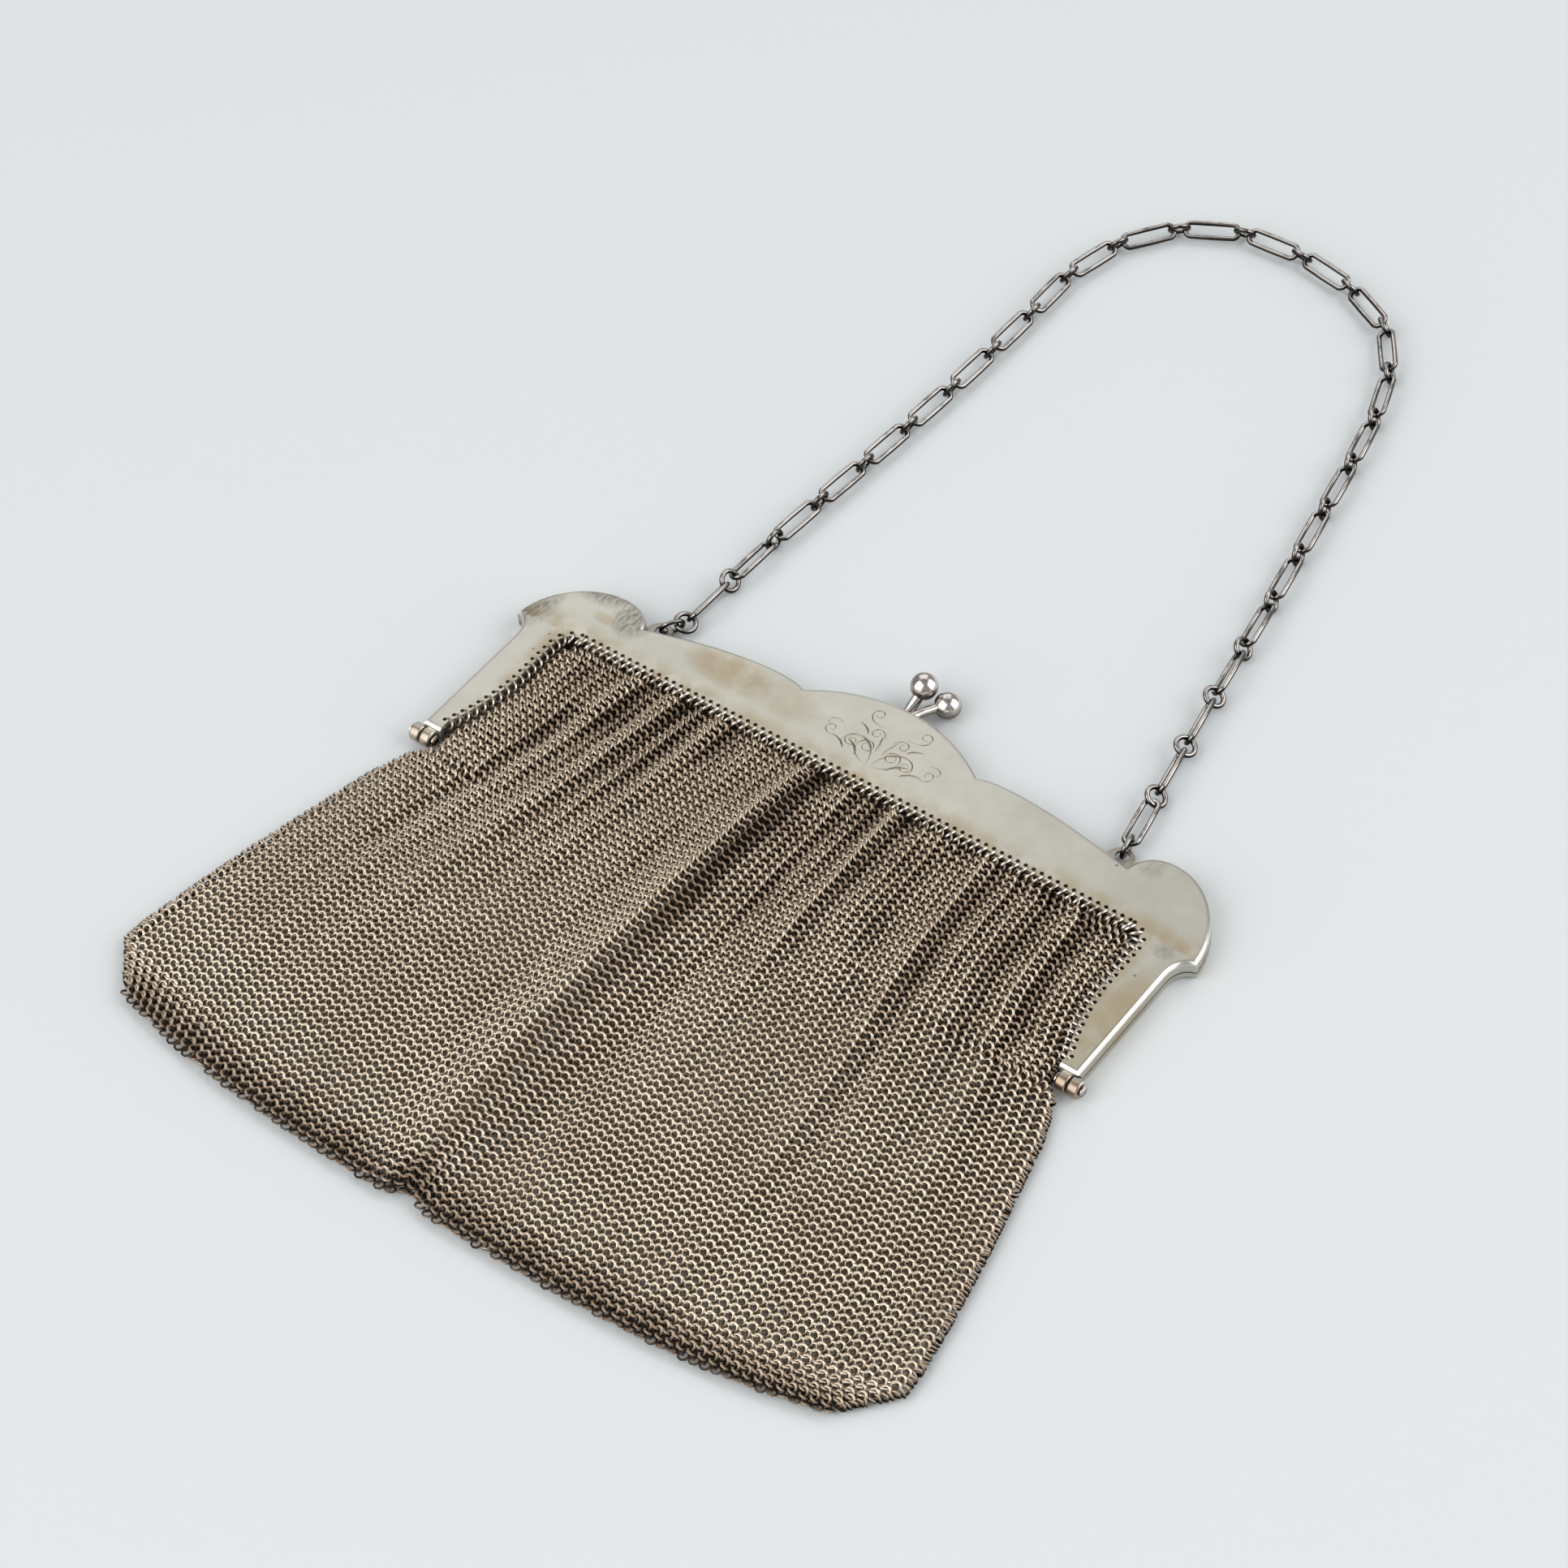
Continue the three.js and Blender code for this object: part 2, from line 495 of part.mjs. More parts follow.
function chain() {
  const start = leftRingCentre.clone().addScaledVector(leftOut, jumpHook + RING_LINE);
  const end = rightRingCentre.clone().addScaledVector(rightOut, jumpHook);
  const points = [start, ...CHAIN_ROUTE.map(([x, y]) => new THREE.Vector3(x, y, CHAIN_HEIGHT)), end];
  const route = new THREE.CatmullRomCurve3(points, false, "centripetal");
  route.arcLengthDivisions = 800;
  const hook = RING_LINE - WIRE + WELD; // round link's centre to the wire line of the oblong's end
  const length = route.getLength() + hook;
  const count = Math.round(length / LINK_PITCH);
  const pitch = length / count;
  const ends = [];
  for (let i = 0; i < count; i++) ends.push(route.getPointAt((i * pitch) / route.getLength()));
  ends.push(end.clone().addScaledVector(ends[count - 1].clone().sub(end).normalize(), -hook));
  const leans = ends.map((_, i) => tableAt(CHAIN_LEAN, i / count, "lean"));
  const links = [];
  for (let i = 0; i < count; i++) {
    const before = i > 0 ? ends[i - 1] : leftRingCentre;
    links.push(placeLoop(wireLoop(RING_LINE, 0), ends[i], ends[i + 1].clone().sub(before), leans[i]));
    const span = ends[i + 1].clone().sub(ends[i]);
    const middle = ends[i].clone().addScaledVector(span, 0.5);
    const lineRadius = (OBLONG_WIDTH - WIRE) / 2;
    const stretch = span.length() - 2 * hook - 2 * lineRadius;
    const lean = (leans[i] + leans[i + 1]) / 2 - QUARTER_TURN;
    links.push(placeLoop(wireLoop(lineRadius, stretch), middle, span, lean));
  }
  return named("chain", geometryOf(wasm.Manifold.union(links.map(solid))), chainSilver);
}

// How high a fold stands at a place on the bag's front, as a share of the bag's height
function foldAt(across, along) {
  return FOLDS.reduce((sum, fold) => {
    const middle = (fold.start + fold.end) / 2;
    const half = (fold.end - fold.start) / 2;
    const fade = Math.sqrt(Math.max(0, 1 - ((along - middle) / half) ** 4));
    return sum + fold.rise * fade * Math.exp(-(((across - fold.across) / fold.breadth) ** 2));
  }, 0);
}

// Half the room that the frame leaves for the bag at a place between its arms, and below its hinges
function roomAt(y) {
  const below = -BARREL_DROP - BARREL_RADIUS - BAG_SIDE_GAP - y;
  if (below > 0) return headRoomStart - BAG_SIDE_GAP + below * BAG_SPREAD;
  const edge = mouthOutline().filter((p) => p.x > 0);
  const next = edge.findIndex((p) => p.y > y);
  if (next < 1) return Math.min(headRoomStart, edge[0].x) - BAG_SIDE_GAP;
  const share = (y - edge[next - 1].y) / (edge[next].y - edge[next - 1].y);
  const armX = THREE.MathUtils.lerp(edge[next - 1].x, edge[next].x, share);
  return Math.min(headRoomStart, armX) - BAG_SIDE_GAP;
}

function bagHalfWidth(along) {
  const sideY = BAG_TOP - along * (BAG_LENGTH - BAG_CORNER_LIFT);
  return Math.min(BAG_HALF_WIDTH * tableAt(BAG_ROWS, along, "width"), roomAt(sideY));
}

// A place on the bag: across runs from -1 to 1, along from 0 at the mouth to 1 at the bottom
function bagPlace(across, along) {
  const notch = BAG_NOTCH * Math.exp(-(((across - NOTCH_PLACE.across) / NOTCH_PLACE.breadth) ** 2));
  const corner = BAG_CORNER_LIFT * Math.abs(across) ** ROUNDNESS.corner;
  const length = BAG_LENGTH - corner - notch * along ** ROUNDNESS.notch;
  return { x: across * bagHalfWidth(along), y: BAG_TOP - along * length };
}

function frontHeight(across, along) {
  const crown = tableAt(BAG_ROWS, along, "crown") * BAG_HEIGHT;
  const side = tableAt(BAG_ROWS, along, "side") * BAG_HEIGHT;
  const level = side + (crown - side) * (1 - Math.abs(across) ** ROUNDNESS.side);
  return Math.max(BAG_EDGE_HEIGHT, level + foldAt(across, along) * BAG_HEIGHT);
}

// A closed skin over rows of sections, each a strip of top places over a strip of bottom places
function loft(rows) {
  const rings = rows.map(({ top, bottom }) => [...top, ...bottom.slice().reverse()]);
  const positions = rings.flat();
  const ringSize = rings[0].length;
  const faces = [];
  for (let r = 0; r + 1 < rows.length; r++) {
    for (let i = 0; i < ringSize; i++) {
      const j = (i + 1) % ringSize;
      const [a, b] = [r * ringSize + i, (r + 1) * ringSize + i];
      const [c, d] = [(r + 1) * ringSize + j, r * ringSize + j];
      faces.push(a, b, c, a, c, d);
    }
  }
  const last = ringSize - 1;
  const cap = (r, turned) => {
    const { top, bottom } = rows[r];
    let [i, j] = [0, 0];
    while (i + 1 < top.length || j + 1 < bottom.length) {
      const topFirst = j + 1 === bottom.length || (i + 1 < top.length && top[i + 1][0] <= bottom[j + 1][0]);
      const face = topFirst ? [i, i + 1, last - j] : [i, last - j - 1, last - j];
      faces.push(...(turned ? face.reverse() : face).map((k) => r * ringSize + k));
      if (topFirst) i++;
      else j++;
    }
  };
  cap(0, false);
  cap(rows.length - 1, true);
  const geometry = new THREE.BufferGeometry();
  geometry.setAttribute("position", new THREE.BufferAttribute(new Float32Array(positions.flat()), 3));
  geometry.setIndex(faces);
  return solid(geometry);
}

// Columns across the bag, closer together at the sides
const columnsAcross = (count) =>
  Array.from({ length: count }, (_, i) => {
    const share = (2 * i) / (count - 1) - 1;
    return THREE.MathUtils.lerp(share, Math.sin((share * Math.PI) / 2), COLUMN_CROWDING);
  });

function bagOuter() {
  return loft(BAG_ROWS.map(({ along }) => ({
    top: columnsAcross(FRONT_COLUMNS).map((across) => {
      const { x, y } = bagPlace(across, along);
      return [x, y, frontHeight(across, along)];
    }),
    bottom: columnsAcross(UNDERSIDE_COLUMNS).map((across) => {
      const { x, y } = bagPlace(across * BAG_UNDERSIDE, along);
      return [x, y, 0];
    }),
  })));
}

// The space inside, open at the mouth
function bagHollow() {
  const mouth = (2 * BAG_WALL) / BAG_LENGTH;
  const bottom = 1 - mouth;
  const rowsAlong = BAG_ROWS.map((row) => row.along);
  const between = rowsAlong.filter((along) => along > 2 * mouth && along < bottom - mouth);
  return loft([-2 * mouth, mouth, ...between, bottom].map((along) => {
    const inset = 1 - BAG_SIDE_WALL / bagHalfWidth(along);
    const at = (across, height) => {
      const { x, y } = bagPlace(across * inset, along);
      return [x, y, height(across * inset)];
    };
    const roof = (across) => Math.max(BAG_WALL + BAG_MIN_ROOM, frontHeight(across, along) - BAG_WALL);
    return {
      top: columnsAcross(HOLLOW_COLUMNS).map((across) => at(across, roof)),
      bottom: columnsAcross(HOLLOW_FLOOR_COLUMNS).map((across) => at(across, () => BAG_WALL)),
    };
  }));
}

function meshBag() {
  return named("mesh_bag", geometryOf(cut(bagOuter(), bagHollow())), meshSilver);
}

const purse = new THREE.Group();
purse.add(
  frameFront(),
  frameBack(),
  hingePin(-1),
  hingePin(1),
  meshBag(),
  lugRing("lug_ring_left", leftRingCentre, leftOut, JUMP_LEAN_LEFT),
  lugRing("lug_ring_right", rightRingCentre, rightOut, JUMP_LEAN_RIGHT),
  chain(),
);
const middle = new THREE.Box3().setFromObject(purse).getCenter(new THREE.Vector3());
purse.position.set(-middle.x, -middle.y, 0);

export default purse;
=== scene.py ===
"""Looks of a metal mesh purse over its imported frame: satin plates, ball clasp, ring mesh bag and chain."""
import math

import bpy
import numpy as np
from mathutils import Euler, Matrix, Vector


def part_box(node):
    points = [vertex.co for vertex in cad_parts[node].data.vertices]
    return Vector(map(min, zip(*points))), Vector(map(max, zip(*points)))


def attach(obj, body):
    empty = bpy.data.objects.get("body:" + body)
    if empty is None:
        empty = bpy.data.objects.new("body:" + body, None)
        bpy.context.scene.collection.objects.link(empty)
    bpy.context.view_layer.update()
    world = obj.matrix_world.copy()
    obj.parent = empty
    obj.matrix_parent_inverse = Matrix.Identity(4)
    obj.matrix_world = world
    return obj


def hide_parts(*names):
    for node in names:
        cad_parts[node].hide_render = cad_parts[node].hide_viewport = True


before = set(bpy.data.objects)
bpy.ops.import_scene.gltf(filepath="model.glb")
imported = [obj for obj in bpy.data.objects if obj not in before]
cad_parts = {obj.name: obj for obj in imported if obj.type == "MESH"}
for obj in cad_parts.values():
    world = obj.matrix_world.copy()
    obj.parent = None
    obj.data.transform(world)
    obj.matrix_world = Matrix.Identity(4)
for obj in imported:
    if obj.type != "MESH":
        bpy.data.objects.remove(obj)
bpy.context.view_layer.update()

# Pieces are shaped in millimetres about the hinge line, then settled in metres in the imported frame
MM = 0.001

# Frame halves, seen from the front
FRAME_HALF_WIDTH = 75.2
ARM_HALF_WIDTH = 72
FRAME_RISE = 52.5
LOBE_CORNER_RISE = 31.9
LOBE_RISE_LEFT = 46
LOBE_RISE_RIGHT = 49.1
LOBE_WIDTH = 22.2
BUMP_HALF_WIDTH = 19.3
NOTCH_DROP = 6.3
ARM_END = 0.5
MOUTH_RISE = 33
MOUTH_HALF_WIDTH = 64.3
MOUTH_CORNER = 4
ARM_END_WIDTH = 3.9
FRONT_DEPTH = 2.4
BACK_DEPTH = 1.9
SEAM = 0.3
PLATE = 0.8
RIM_WALL = 0.9
EDGE_ROUND = 1
CUT_REACH = 100  # half the size of the blocks that cut a plate off at its seam
FRONT_SEAM = BACK_DEPTH + SEAM
FRAME_THICKNESS = FRONT_SEAM + FRONT_DEPTH
SHOULDER = {"near_run": 0.12, "near_rise": 0.35, "far_run": 0.55, "far_rise": 0.13}
LOBE = {"top": 0.32, "notch_drop": 0.31, "inner_run": 0.03, "inner_rise": 0.6, "crest_run": 0.14,
        "outer_crest": 0.5, "outer_run": 0.02, "outer_rise": 0.53}
NECK = {"start": 0.975, "end": 0.84}
ARM_TAPER = {"start_rise": 0.073, "bow_rise": 0.3, "bow": 0.011, "end_rise": 0.55}

# Hinges
BARREL_RADIUS = 1.8
BARREL_DROP = 0.6
BARREL_HEIGHT = FRAME_THICKNESS / 2
KNUCKLE_LENGTH = 2.1
BARREL_OVERHANG = 1.4
BARREL_ROUND = 0.35
PIN_BORE = 0.85
ROD_SIDES = 32
ROD_ROUND_ANGLE = 50

# Clasp
BALL_RADIUS = 2.6
BALL_REACH = 6.1
BALL_LIFT = 0.15
BALL_CLEARANCE = 0.36
STEM_RADIUS = 0.8
FRONT_STEM_FLARE = 1.1
BACK_STEM_FLARE = 1.5
STEM_KNEE = 1.8
SOLDER_DEPTH = 0.6
FRONT_BALL_X = 3.85
FRONT_STEM_X = 0.4
BACK_BALL_X = -1.3
BACK_STEM_X = -1.9

# Engraved scrolls, for the right side: start, heading, length, bend at its start and end per mm, and width
SCROLL_X = 1.3
SCROLL_STEPS = 36
SCROLL_TIP = 0.25  # how thick a line's tips are, as a share of its width
SCROLL_SWELL = 0.6
SCROLLS = [
    ((0.3, 36.8), 82, 13.5, (-0.04, -0.5), 0.2),
    ((0.5, 37.2), 12, 15, (0.02, 1.15), 0.2),
    ((1.4, 40.6), 30, 13, (0.12, -1.35), 0.18),
    ((2.2, 46.2), 5, 10.5, (-0.12, 1.5), 0.18),
    ((0.9, 43.4), 85, 8, (-0.2, -1.6), 0.17),
    ((8.6, 40.2), -30, 7.5, (0.15, 1.6), 0.16),
    ((9.2, 43.2), 12, 4.5, (0.2, -1.5), 0.15),
    ((3.4, 37.9), 75, 4.4, (-0.35, -0.1), 0.34),
    ((6.2, 38.1), 60, 4, (-0.3, -0.2), 0.3),
    ((0.8, 40.6), 98, 4, (-0.3, 0.1), 0.3),
    ((4.2, 43.4), 62, 3.4, (-0.35, -0.2), 0.28),
]

# Chain lugs
LUG_LEFT_X = -51.4
LUG_RIGHT_X = 49.7
LUG_WIDTH = 6
LUG_HEIGHT = 4.6
LUG_THICKNESS = 0.5
LUG_HOLE_RADIUS = 1.3
LUG_HOLE_RISE = 2.6
LUG_CURVE = {"rise": 0.75, "run": 0.6}
LUG_ROUND = 0.12

# Chain
WIRE = 1
RING_OUTER = 4.8
OBLONG_WIDTH = 3.9
LINK_PITCH = 13.2
WELD = 0.22
CHAIN_HEIGHT = 2.4
RING_LINE = (RING_OUTER - WIRE) / 2
JUMP_WIRE = 0.9
JUMP_WIDTH = 4.3
JUMP_STRETCH = 1
JUMP_PLAY = 0.45
JUMP_LIFT = 0.05
JUMP_LEAN_LEFT = 105
JUMP_LEAN_RIGHT = 98
JUMP_TURN_LEFT = 33.4
JUMP_TURN_RIGHT = -9.2
JUMP_LINE = (JUMP_WIDTH - JUMP_WIRE) / 2
JUMP_HEIGHT = JUMP_WIDTH / 2 + JUMP_LIFT
LINK_STEPS = 24
LINK_WIRE_SIDES = 8
CHAIN_ROUTE = [
    (-47.9, 75.8), (-45.9, 102), (-44.2, 128.3), (-43.6, 154.6), (-43.7, 167.8), (-40.5, 180.7),
    (-32.8, 191), (-21, 197.1), (-7.4, 197.4), (6.1, 194.3), (17.3, 187.9), (24.2, 177.4),
    (28.3, 165), (33.4, 139), (38.1, 113.4), (42.6, 87.1),
]

# How far the round links lean over: share of the chain from its left end, and degrees
CHAIN_LEAN = [
    (0, 22), (0.04, 52), (0.08, 96), (0.12, 108), (0.2, 115), (0.5, 125),
    (0.75, 100), (0.82, 112), (0.9, 156), (0.96, 150), (1, 46),
]

# Bag
BAG_HALF_WIDTH = 84.3
BAG_TOP = MOUTH_RISE - 0.5
BAG_SIDE_GAP = 0.6
BAG_SPREAD = 3.4
BAG_NOTCH = 1.8
BAG_LENGTH = 115
BAG_CORNER_LIFT = 7
BAG_HEIGHT = 6.2
BAG_EDGE_HEIGHT = 2.2
BAG_ALONG = [0, 0.035, 0.14, 0.2, 0.266, 0.33, 0.35, 0.426, 0.522, 0.65, 0.78, 0.88, 0.925, 1]
BAG_WIDTH = [0.71, 0.757, 0.765, 0.78, 0.8, 0.81, 0.838, 0.875, 0.904, 0.943, 0.976, 0.997, 1, 0.92]
BAG_CROWN = [0.63, 0.65, 0.83, 0.91, 0.97, 0.99, 1, 1, 0.98, 0.9, 0.76, 0.6, 0.52, 0.39]
BAG_SIDE = [0.63, 0.63, 0.63, 0.61, 0.58, 0.5, 0.46, 0.42, 0.42, 0.42, 0.42, 0.41, 0.4, 0.38]

# Folds: across the row, rise, breadth, start and end along the bag
FOLDS = [
    (-0.14, 0.42, 0.075, 0.02, 1.02),
    (0.03, -0.24, 0.07, 0.06, 0.95),
    (-0.8, -0.22, 0.06, 0.12, 0.55),
    (-0.62, 0.1, 0.08, 0.15, 0.6),
    (0.4, -0.13, 0.05, 0.03, 0.3),
    (0.86, -0.14, 0.05, 0.08, 0.36),
]
NOTCH_ACROSS = -0.09
NOTCH_BREADTH = 0.035

# Small gathers that take up the slack below the mouth: waves per half width, height in mm and phase
GATHERS = [(6.3, 0.6, 0.4), (9.6, 0.42, 2.1), (12.4, 0.26, 4.4)]
GATHER_FADE = 0.5
GATHER_LEFT = 0.12  # the share of a gather's height that is left at the hem
GATHER_SHARE = 0.9
GATHER_SLANT = 1.3
GATHER_SHARPNESS = 1.7
UNEVEN = {"least": 0.24, "most": 1, "across": 9.1, "along": 2.6, "phase": 0.8}
PUCKER = {"height": 0.3, "across": (31, -6), "along": (9, 27), "phase": (0, 1)}
EASING = 0.12  # the share of the bag's length over which its width is eased, either way
EASING_STEPS = 9

# Ring mesh
MESH_COLUMNS = 75
MESH_ROWS = 70
MESH_RING_RADIUS = 0.86
MESH_WIRE_RADIUS = 0.26
MESH_LEAN = 35
# Painted shade: the rows that lean down are also painted this much darker
MESH_UNDER = 0.12  # the rows that lean down lie this much deeper
# Painted light and shade on the mesh: slopes that face right are painted darker, slopes that face left
# lighter
FOLD_SHADE = 0.85  # how much darker the slopes that face right are
FOLD_SHADE_CURVE = 0.65
SLOPE_LIGHT = 0.3  # how much lighter the slopes that face left are
# Painted light and shade: the crests of gathers and long folds are painted lighter, their hollows darker
GATHER_PAINTED_LIGHT = 0.4  # how much lighter the crest of a gather is, and how much darker its hollow
FOLD_PAINTED_LIGHT = 0.5  # the same for a long fold
# Painted shade: the mesh is painted darker just below the mouth
TOP_SHADE = 0.46  # how much darker the mesh is below the mouth
# Painted shade and tarnish: the mesh is painted darker at its bottom edge
END_SHADE = 0.782  # how much darker the mesh is at its bottom edge
SHEET_HALF = 0.7
SHEET_TOP_OVERLAP = 0.4
SHEET_END_OVERHANG = 0.1
SHEET_SIDE_INSET = 0.5
SHEET_LOWEST = 2
BACK_SHEET_HEIGHT = 0.9
RING_TURN_SPREAD = (3, 3.5)  # degrees by which single rings lean and roll apart
RING_PLACE_SPREAD = 0.03
TOP_SHADE_LENGTH = 0.33
END_SHADE_LENGTH = 0.05
HEM_ALONG = 1.008
HEM_HEIGHT = 1.25
SIDE_RING_HEIGHT = 1.35
# Painted shade and tarnish: the hem rings are painted this much darker
HEM_SHADE = -1
HEM_DROOP = -0.35  # radians by which the open rings of the bottom lean down
HEM_SPREAD = {"turn": 0.25, "droop": 0.3, "swing": 0.3}
FRONT_RING_STEPS = 8
BACK_RING_STEPS = 6
MESH_WIRE_SIDES = 3

# Rings that stitch the mesh to the plates
STITCHES_ACROSS = 72
STITCHES_PER_SIDE = 19
STITCH_RADIUS = 1.15
STITCH_WIRE_RADIUS = 0.23
STITCH_HOLE_INSET = 0.85
STITCH_HOLE_RADIUS = 0.42
STITCH_SLANT = 17
STITCH_LEAN = 32
STITCH_SETBACK = 0.3
STITCH_CORNER_GAP = 0.8
BACK_STITCH_HEIGHT = 0.8
FRONT_STITCH_FLATTENING = 0.8
BACK_STITCH_FLATTENING = 0.55
BACK_SLIVER = 0.5  # the back half shows above the front's bump, left of the balls
BACK_SLIVER_X = -6
BACK_SLIVER_RUN = 6

# Marks on the front plate: middle x and y, half width and half height, and strength
STAINS = [
    (-32.5, 41.7, 12, 5, 1),
    (69.5, 13, 4.5, 16, 1),
    (-60.5, 39.4, 3, 1.6, 0.7),
    (-20, 41.5, 9, 5, 0.45),
]
# Worn lobe edges, partly a painted dark reflection where an edge curves down: the same columns
WORN_AND_SHADED_EDGES = [
    (-74.5, 36, 6, 9, 1),
    (-66, 45.5, 12, 4.5, 1),
    (-55.5, 42.5, 5, 6, 1),
    (69, 31, 2.5, 2, 0.6),
    (57, 46, 3, 4, 0.35),
]
PITS = [
    (67.9, 23.8, 0.45, 0.3, 1),
    (51.4, 42.8, 0.4, 0.35, 1),
    (-66.5, 30.6, 0.35, 0.3, 1),
    (-66.6, 26, 0.3, 0.3, 1),
]

# Colours of the plates
PLATE_GREY = (0.58, 0.57, 0.5)
PLATE_LIGHT = (0.64, 0.63, 0.56)
PLATE_DARKER = (0.27, 0.26, 0.22)
TARNISH_BROWN = (0.42, 0.33, 0.2)
HINGE_BROWN = (0.3, 0.19, 0.12)
# Dark of wear and pits, and of the painted dark reflection on the lobe edges
DARK_WEAR_PITS_AND_SHADE = (0.12, 0.105, 0.09)
# Painted highlight on the plates' rounded edges
EDGE_HIGHLIGHT = (0.9, 0.89, 0.86)

# Stage
FLOOR_SIZE = 6
FLOOR_COLOUR = (0.675, 0.71, 0.725)
SKY_COLOUR = (1.0, 0.98, 0.95)
SKY_STRENGTH = 0.32

# Camera, solved from the photograph: place in millimetres about the hinge line, and angles about X, Y and Z
CAMERA_PLACE = (341.17, -395.92, 616.11)
CAMERA_ANGLES = (41.7553, 2.7013, 36.6676)
CAMERA_LENS = 105.3
SENSOR = 36

pin_low, pin_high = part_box("hinge_pin_left")
HINGE_Y = (pin_low.y + pin_high.y) / 2 + BARREL_DROP * MM


# Making pieces

def deselect():
    bpy.ops.object.select_all(action="DESELECT")


def use(obj):
    deselect()
    obj.select_set(True)
    bpy.context.view_layer.objects.active = obj


def settle(obj):
    """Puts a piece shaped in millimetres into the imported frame, with its place in its mesh."""
    use(obj)
    obj.data.transform(obj.matrix_basis)
    obj.matrix_basis = Matrix.Translation((0, HINGE_Y, 0)) @ Matrix.Scale(MM, 4)
    bpy.ops.object.transform_apply(location=True, rotation=True, scale=True)


def finish_piece(obj, name, node, finish, smooth):
    """Settles a piece, smooths what bends less than an angle, gives it its finish, attaches it to the root,
    and hides the part of the frame that it replaces.
    """
    obj.name = name
    settle(obj)
    if smooth < 180:
        bpy.ops.object.shade_smooth_by_angle(angle=math.radians(smooth))
    else:
        bpy.ops.object.shade_smooth()
    obj.data.materials.clear()
    obj.data.materials.append(finish)
    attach(obj, "root")
    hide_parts(node)


def join(*objects):
    deselect()
    for obj in objects:
        obj.select_set(True)
    bpy.context.view_layer.objects.active = objects[0]
    bpy.ops.object.join()
    return objects[0]


def cut(obj, tool):
    use(obj)
    cutter = obj.modifiers.new("cut", "BOOLEAN")
    cutter.operation = "DIFFERENCE"
    cutter.solver = "EXACT"
    cutter.object = tool
    bpy.ops.object.modifier_apply(modifier=cutter.name)
    bpy.data.objects.remove(tool)


def slab(points, low, high, edge_round=0, steps=5):
    """A flat outline raised from low to high, with both its outer edges rounded where asked."""
    deselect()
    bpy.ops.mesh.primitive_circle_add(vertices=len(points), radius=1, fill_type="NGON")
    obj = bpy.context.object
    for vertex, (x, y) in zip(obj.data.vertices, points):
        vertex.co = (x, y, high)
    bpy.ops.object.mode_set(mode="EDIT")
    bpy.ops.mesh.select_all(action="SELECT")
    bpy.ops.mesh.extrude_region_move(TRANSFORM_OT_translate={"value": (0, 0, low - high)})
    bpy.ops.mesh.select_all(action="SELECT")
    bpy.ops.mesh.normals_make_consistent(inside=False)
    bpy.ops.object.mode_set(mode="OBJECT")
    if edge_round:
        bpy.ops.object.mode_set(mode="EDIT")
        bpy.ops.mesh.select_mode(type="EDGE")
        bpy.ops.mesh.select_all(action="DESELECT")
        bpy.ops.object.mode_set(mode="OBJECT")
        for edge in obj.data.edges:
            a, b = (obj.data.vertices[i].co.z for i in edge.vertices)
            edge.select = abs(a - b) < 1e-6
        bpy.ops.object.mode_set(mode="EDIT")
        bpy.ops.mesh.bevel(
            offset=edge_round, segments=steps, profile=0.5, affect="EDGES", clamp_overlap=False)
        bpy.ops.mesh.select_mode(type="VERT")
        bpy.ops.object.mode_set(mode="OBJECT")
    return obj


def block(low, high):
    deselect()
    centre = [(a + b) / 2 for a, b in zip(low, high)]
    bpy.ops.mesh.primitive_cube_add(size=1, location=centre)
    obj = bpy.context.object
    obj.scale = [b - a for a, b in zip(low, high)]
    bpy.ops.object.transform_apply(location=True, rotation=True, scale=True)
    return obj


def barrel_rod(start, end, radius, edge_round=0):
    """A round rod along the hinge's line, with both its ends rounded where asked."""
    deselect()
    bpy.ops.mesh.primitive_cylinder_add(
        vertices=ROD_SIDES, radius=radius, depth=abs(end - start),
        location=((start + end) / 2, -BARREL_DROP, BARREL_HEIGHT), rotation=(0, math.pi / 2, 0))
    obj = bpy.context.object
    bpy.ops.object.transform_apply(location=True, rotation=True, scale=True)
    if edge_round:
        bevel = obj.modifiers.new("rounding", "BEVEL")
        bevel.width = edge_round
        bevel.segments = 4
        bevel.limit_method = "ANGLE"
        bevel.angle_limit = math.radians(ROD_ROUND_ANGLE)
        bpy.ops.object.modifier_apply(modifier=bevel.name)
    return obj


def unit(vectors):
    return vectors / np.linalg.norm(vectors, axis=-1, keepdims=True)


# Outlines of the frame, repeated from the part with finer steps

def bezier(a, b, c, d, steps):
    t = np.linspace(0, 1, steps + 1)[1:, None]
    a, b, c, d = (np.array(p, float) for p in (a, b, c, d))
    return list(map(tuple, (1 - t) ** 3 * a + 3 * (1 - t) ** 2 * t * b + 3 * (1 - t) * t**2 * c + t**3 * d))


def quadratic(a, b, c, steps):
    t = np.linspace(0, 1, steps + 1)[1:, None]
    a, b, c = (np.array(p, float) for p in (a, b, c))
    return list(map(tuple, (1 - t) ** 2 * a + 2 * (1 - t) * t * b + t**2 * c))


def lerp(a, b, share):
    return a + (b - a) * share


